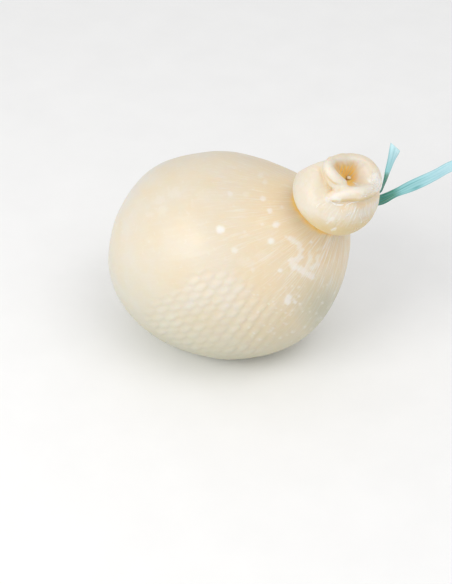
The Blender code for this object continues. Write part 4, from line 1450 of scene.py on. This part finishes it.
bumps_normal = bumped(tree, noise(tree, where, 260.0), 0.10, 0.0005, bumps_normal)
set_inputs(tree, shader, {
    "Base Color": colour, "Roughness": reckon(tree, "ADD", gloss, wear),
    "Subsurface Weight": 0.35, "Subsurface Radius": (1.0, 0.55, 0.25),
    "Subsurface Scale": 0.005, "Specular IOR Level": 0.55, "Normal": bumps_normal})
for obj in (body, head):
    obj.data.materials.append(curd)

# %% [markdown]
# Shreds and crumbs are too thin to scatter light within themselves, and they have dried, so
# they get plain whites of their own: the same curd with nothing but a rough surface.

# %% Dry curd
for name, dried, obj in (("dry shred", (0.890, 0.870, 0.830, 1.0), shreds),
                         ("dry crumb", (0.825, 0.795, 0.725, 1.0), crumbs)):
    dry, tree, shader = new_material(name)
    set_inputs(tree, shader, {"Base Color": dried, "Roughness": 0.60, "Specular IOR Level": 0.30})
    obj.data.materials.append(dry)

# %% [markdown]
# ### The ribbon
#
# Raffia ribbon is a thin glassy strip. Where it is bunched near the knot many layers lie over
# each other and it looks deep green, deepened further by painted shade; flat against the
# light it is pale, and that paleness is painted light. So its colour follows the distance
# from the knot. Painted shade also darkens it at its edges, in its crease and in soft
# patches. Fine lengthwise lines come from a noise that is stretched along the strip.

# %% Ribbon
# colours along the strip, from the knot out: dark green partly painted shade, pale tips painted light
SHADES = (
    (0.00, (0.004, 0.085, 0.050, 1.0)), (1.00, (0.620, 0.900, 0.970, 1.0)),
    (0.25, (0.020, 0.200, 0.120, 1.0)), (0.33, (0.080, 0.320, 0.210, 1.0)),
    (0.40, (0.320, 0.725, 0.750, 1.0)), (0.70, (0.470, 0.790, 0.870, 1.0)),
)
PALE_LINES = (0.780, 0.900, 0.920, 1.0)
OLIVE = (0.130, 0.190, 0.045, 1.0)
SHADE_TEAL = (0.020, 0.300, 0.300, 1.0)

ribbon, tree, shader = new_material("ribbon")
along = kept(tree, "along")
join = tree.nodes.new("ShaderNodeCombineXYZ")
strip = set_inputs(tree, join, {"X": kept(tree, "across"), "Y": along})["Vector"]
ramp = tree.nodes.new("ShaderNodeValToRGB")
for place, shade in SHADES:
    if place in (0.0, 1.0):
        stop = ramp.color_ramp.elements[-int(place)]
    else:
        stop = ramp.color_ramp.elements.new(place)
    stop.color = shade
colour = set_inputs(tree, ramp, {"Fac": along})["Color"]
lines = noise(tree, strip, 5.0, 4.0)
near_knot = stretch(tree, along, 0.34, 0.22)
stains = stretch(tree, noise(tree, strip, 3.1, 2.0), 0.48, 0.60)
stains = reckon(tree, "MULTIPLY", reckon(tree, "MULTIPLY", stains, near_knot), 0.45)
colour = mixed(tree, stretch(tree, lines, 0.40, 0.72, 0.0, 0.30), colour, PALE_LINES)
colour = mixed(tree, stains, colour, OLIVE)
# painted shade: darker teal at the strip's edges, in its crease and in soft patches
colour = mixed(tree, kept(tree, "shade"), colour, SHADE_TEAL)
set_inputs(tree, shader, {
    "Base Color": colour, "Roughness": 0.42, "Specular IOR Level": 0.30,
    "Normal": bumped(tree, lines, 0.25, 0.0003)})
for obj in (ribbon_short, ribbon_long, tie):
    obj.data.materials.append(ribbon)

# %% [markdown]
# ## Table and light
#
# A pale table, one broad soft lamp high on the left, a weaker one still higher on the right,
# and a bright room around. A small lamp would give a hard spot on the waxy skin, and the
# real gleam is as wide as a hand, so the lamps are large.

# %% Table and lamps
TABLE_CORNERS = ((-3.0, -3.0, 0.0), (3.0, -3.0, 0.0), (3.0, 3.0, 0.0), (-3.0, 3.0, 0.0))
LAMP_TARGET = Vector((0.02, 0.0, 0.06))
ROOM_LIGHT = 0.70

table = mesh_object("table", [])
table.data.from_pydata(TABLE_CORNERS, [], [(0, 1, 2, 3)])
paint, tree, shader = new_material("table paint")
where = tree.nodes.new("ShaderNodeTexCoord").outputs["Object"]
shade = stretch(tree, noise(tree, where, 30.0), 0.2, 0.8)
pale = mixed(tree, shade, (0.90, 0.90, 0.90, 1.0), (0.93, 0.93, 0.93, 1.0))
set_inputs(tree, shader, {"Base Color": pale, "Roughness": 0.75})
table.data.materials.append(paint)


def lamp(name, place, size, power, colour):
    """A round lamp turned to the cheese."""
    data = bpy.data.lights.new(name, "AREA")
    data.shape = "DISK"
    data.size = size
    data.energy = power
    data.color = colour
    obj = bpy.data.objects.new(name, data)
    obj.location = place
    obj.rotation_euler = (LAMP_TARGET - Vector(place)).to_track_quat("-Z", "Y").to_euler()
    bpy.context.collection.objects.link(obj)


high_left = -0.77 * right + 0.63 * level_back + np.array([0.0, 0.0, 0.74])
lamp("broad lamp", high_left, size=0.75, power=5.5, colour=(1.0, 0.99, 0.97))
lamp("upper lamp", (0.60, -0.19, 1.16), size=0.8, power=3.1, colour=(1.0, 1.0, 1.0))
world = bpy.data.worlds.new("bright room")
world.use_nodes = True
background = world.node_tree.nodes["Background"]
set_inputs(world.node_tree, background, {"Color": (1.0, 1.0, 1.0, 1.0), "Strength": ROOM_LIGHT})
bpy.context.scene.world = world
bpy.context.scene.view_settings.view_transform = "Standard"
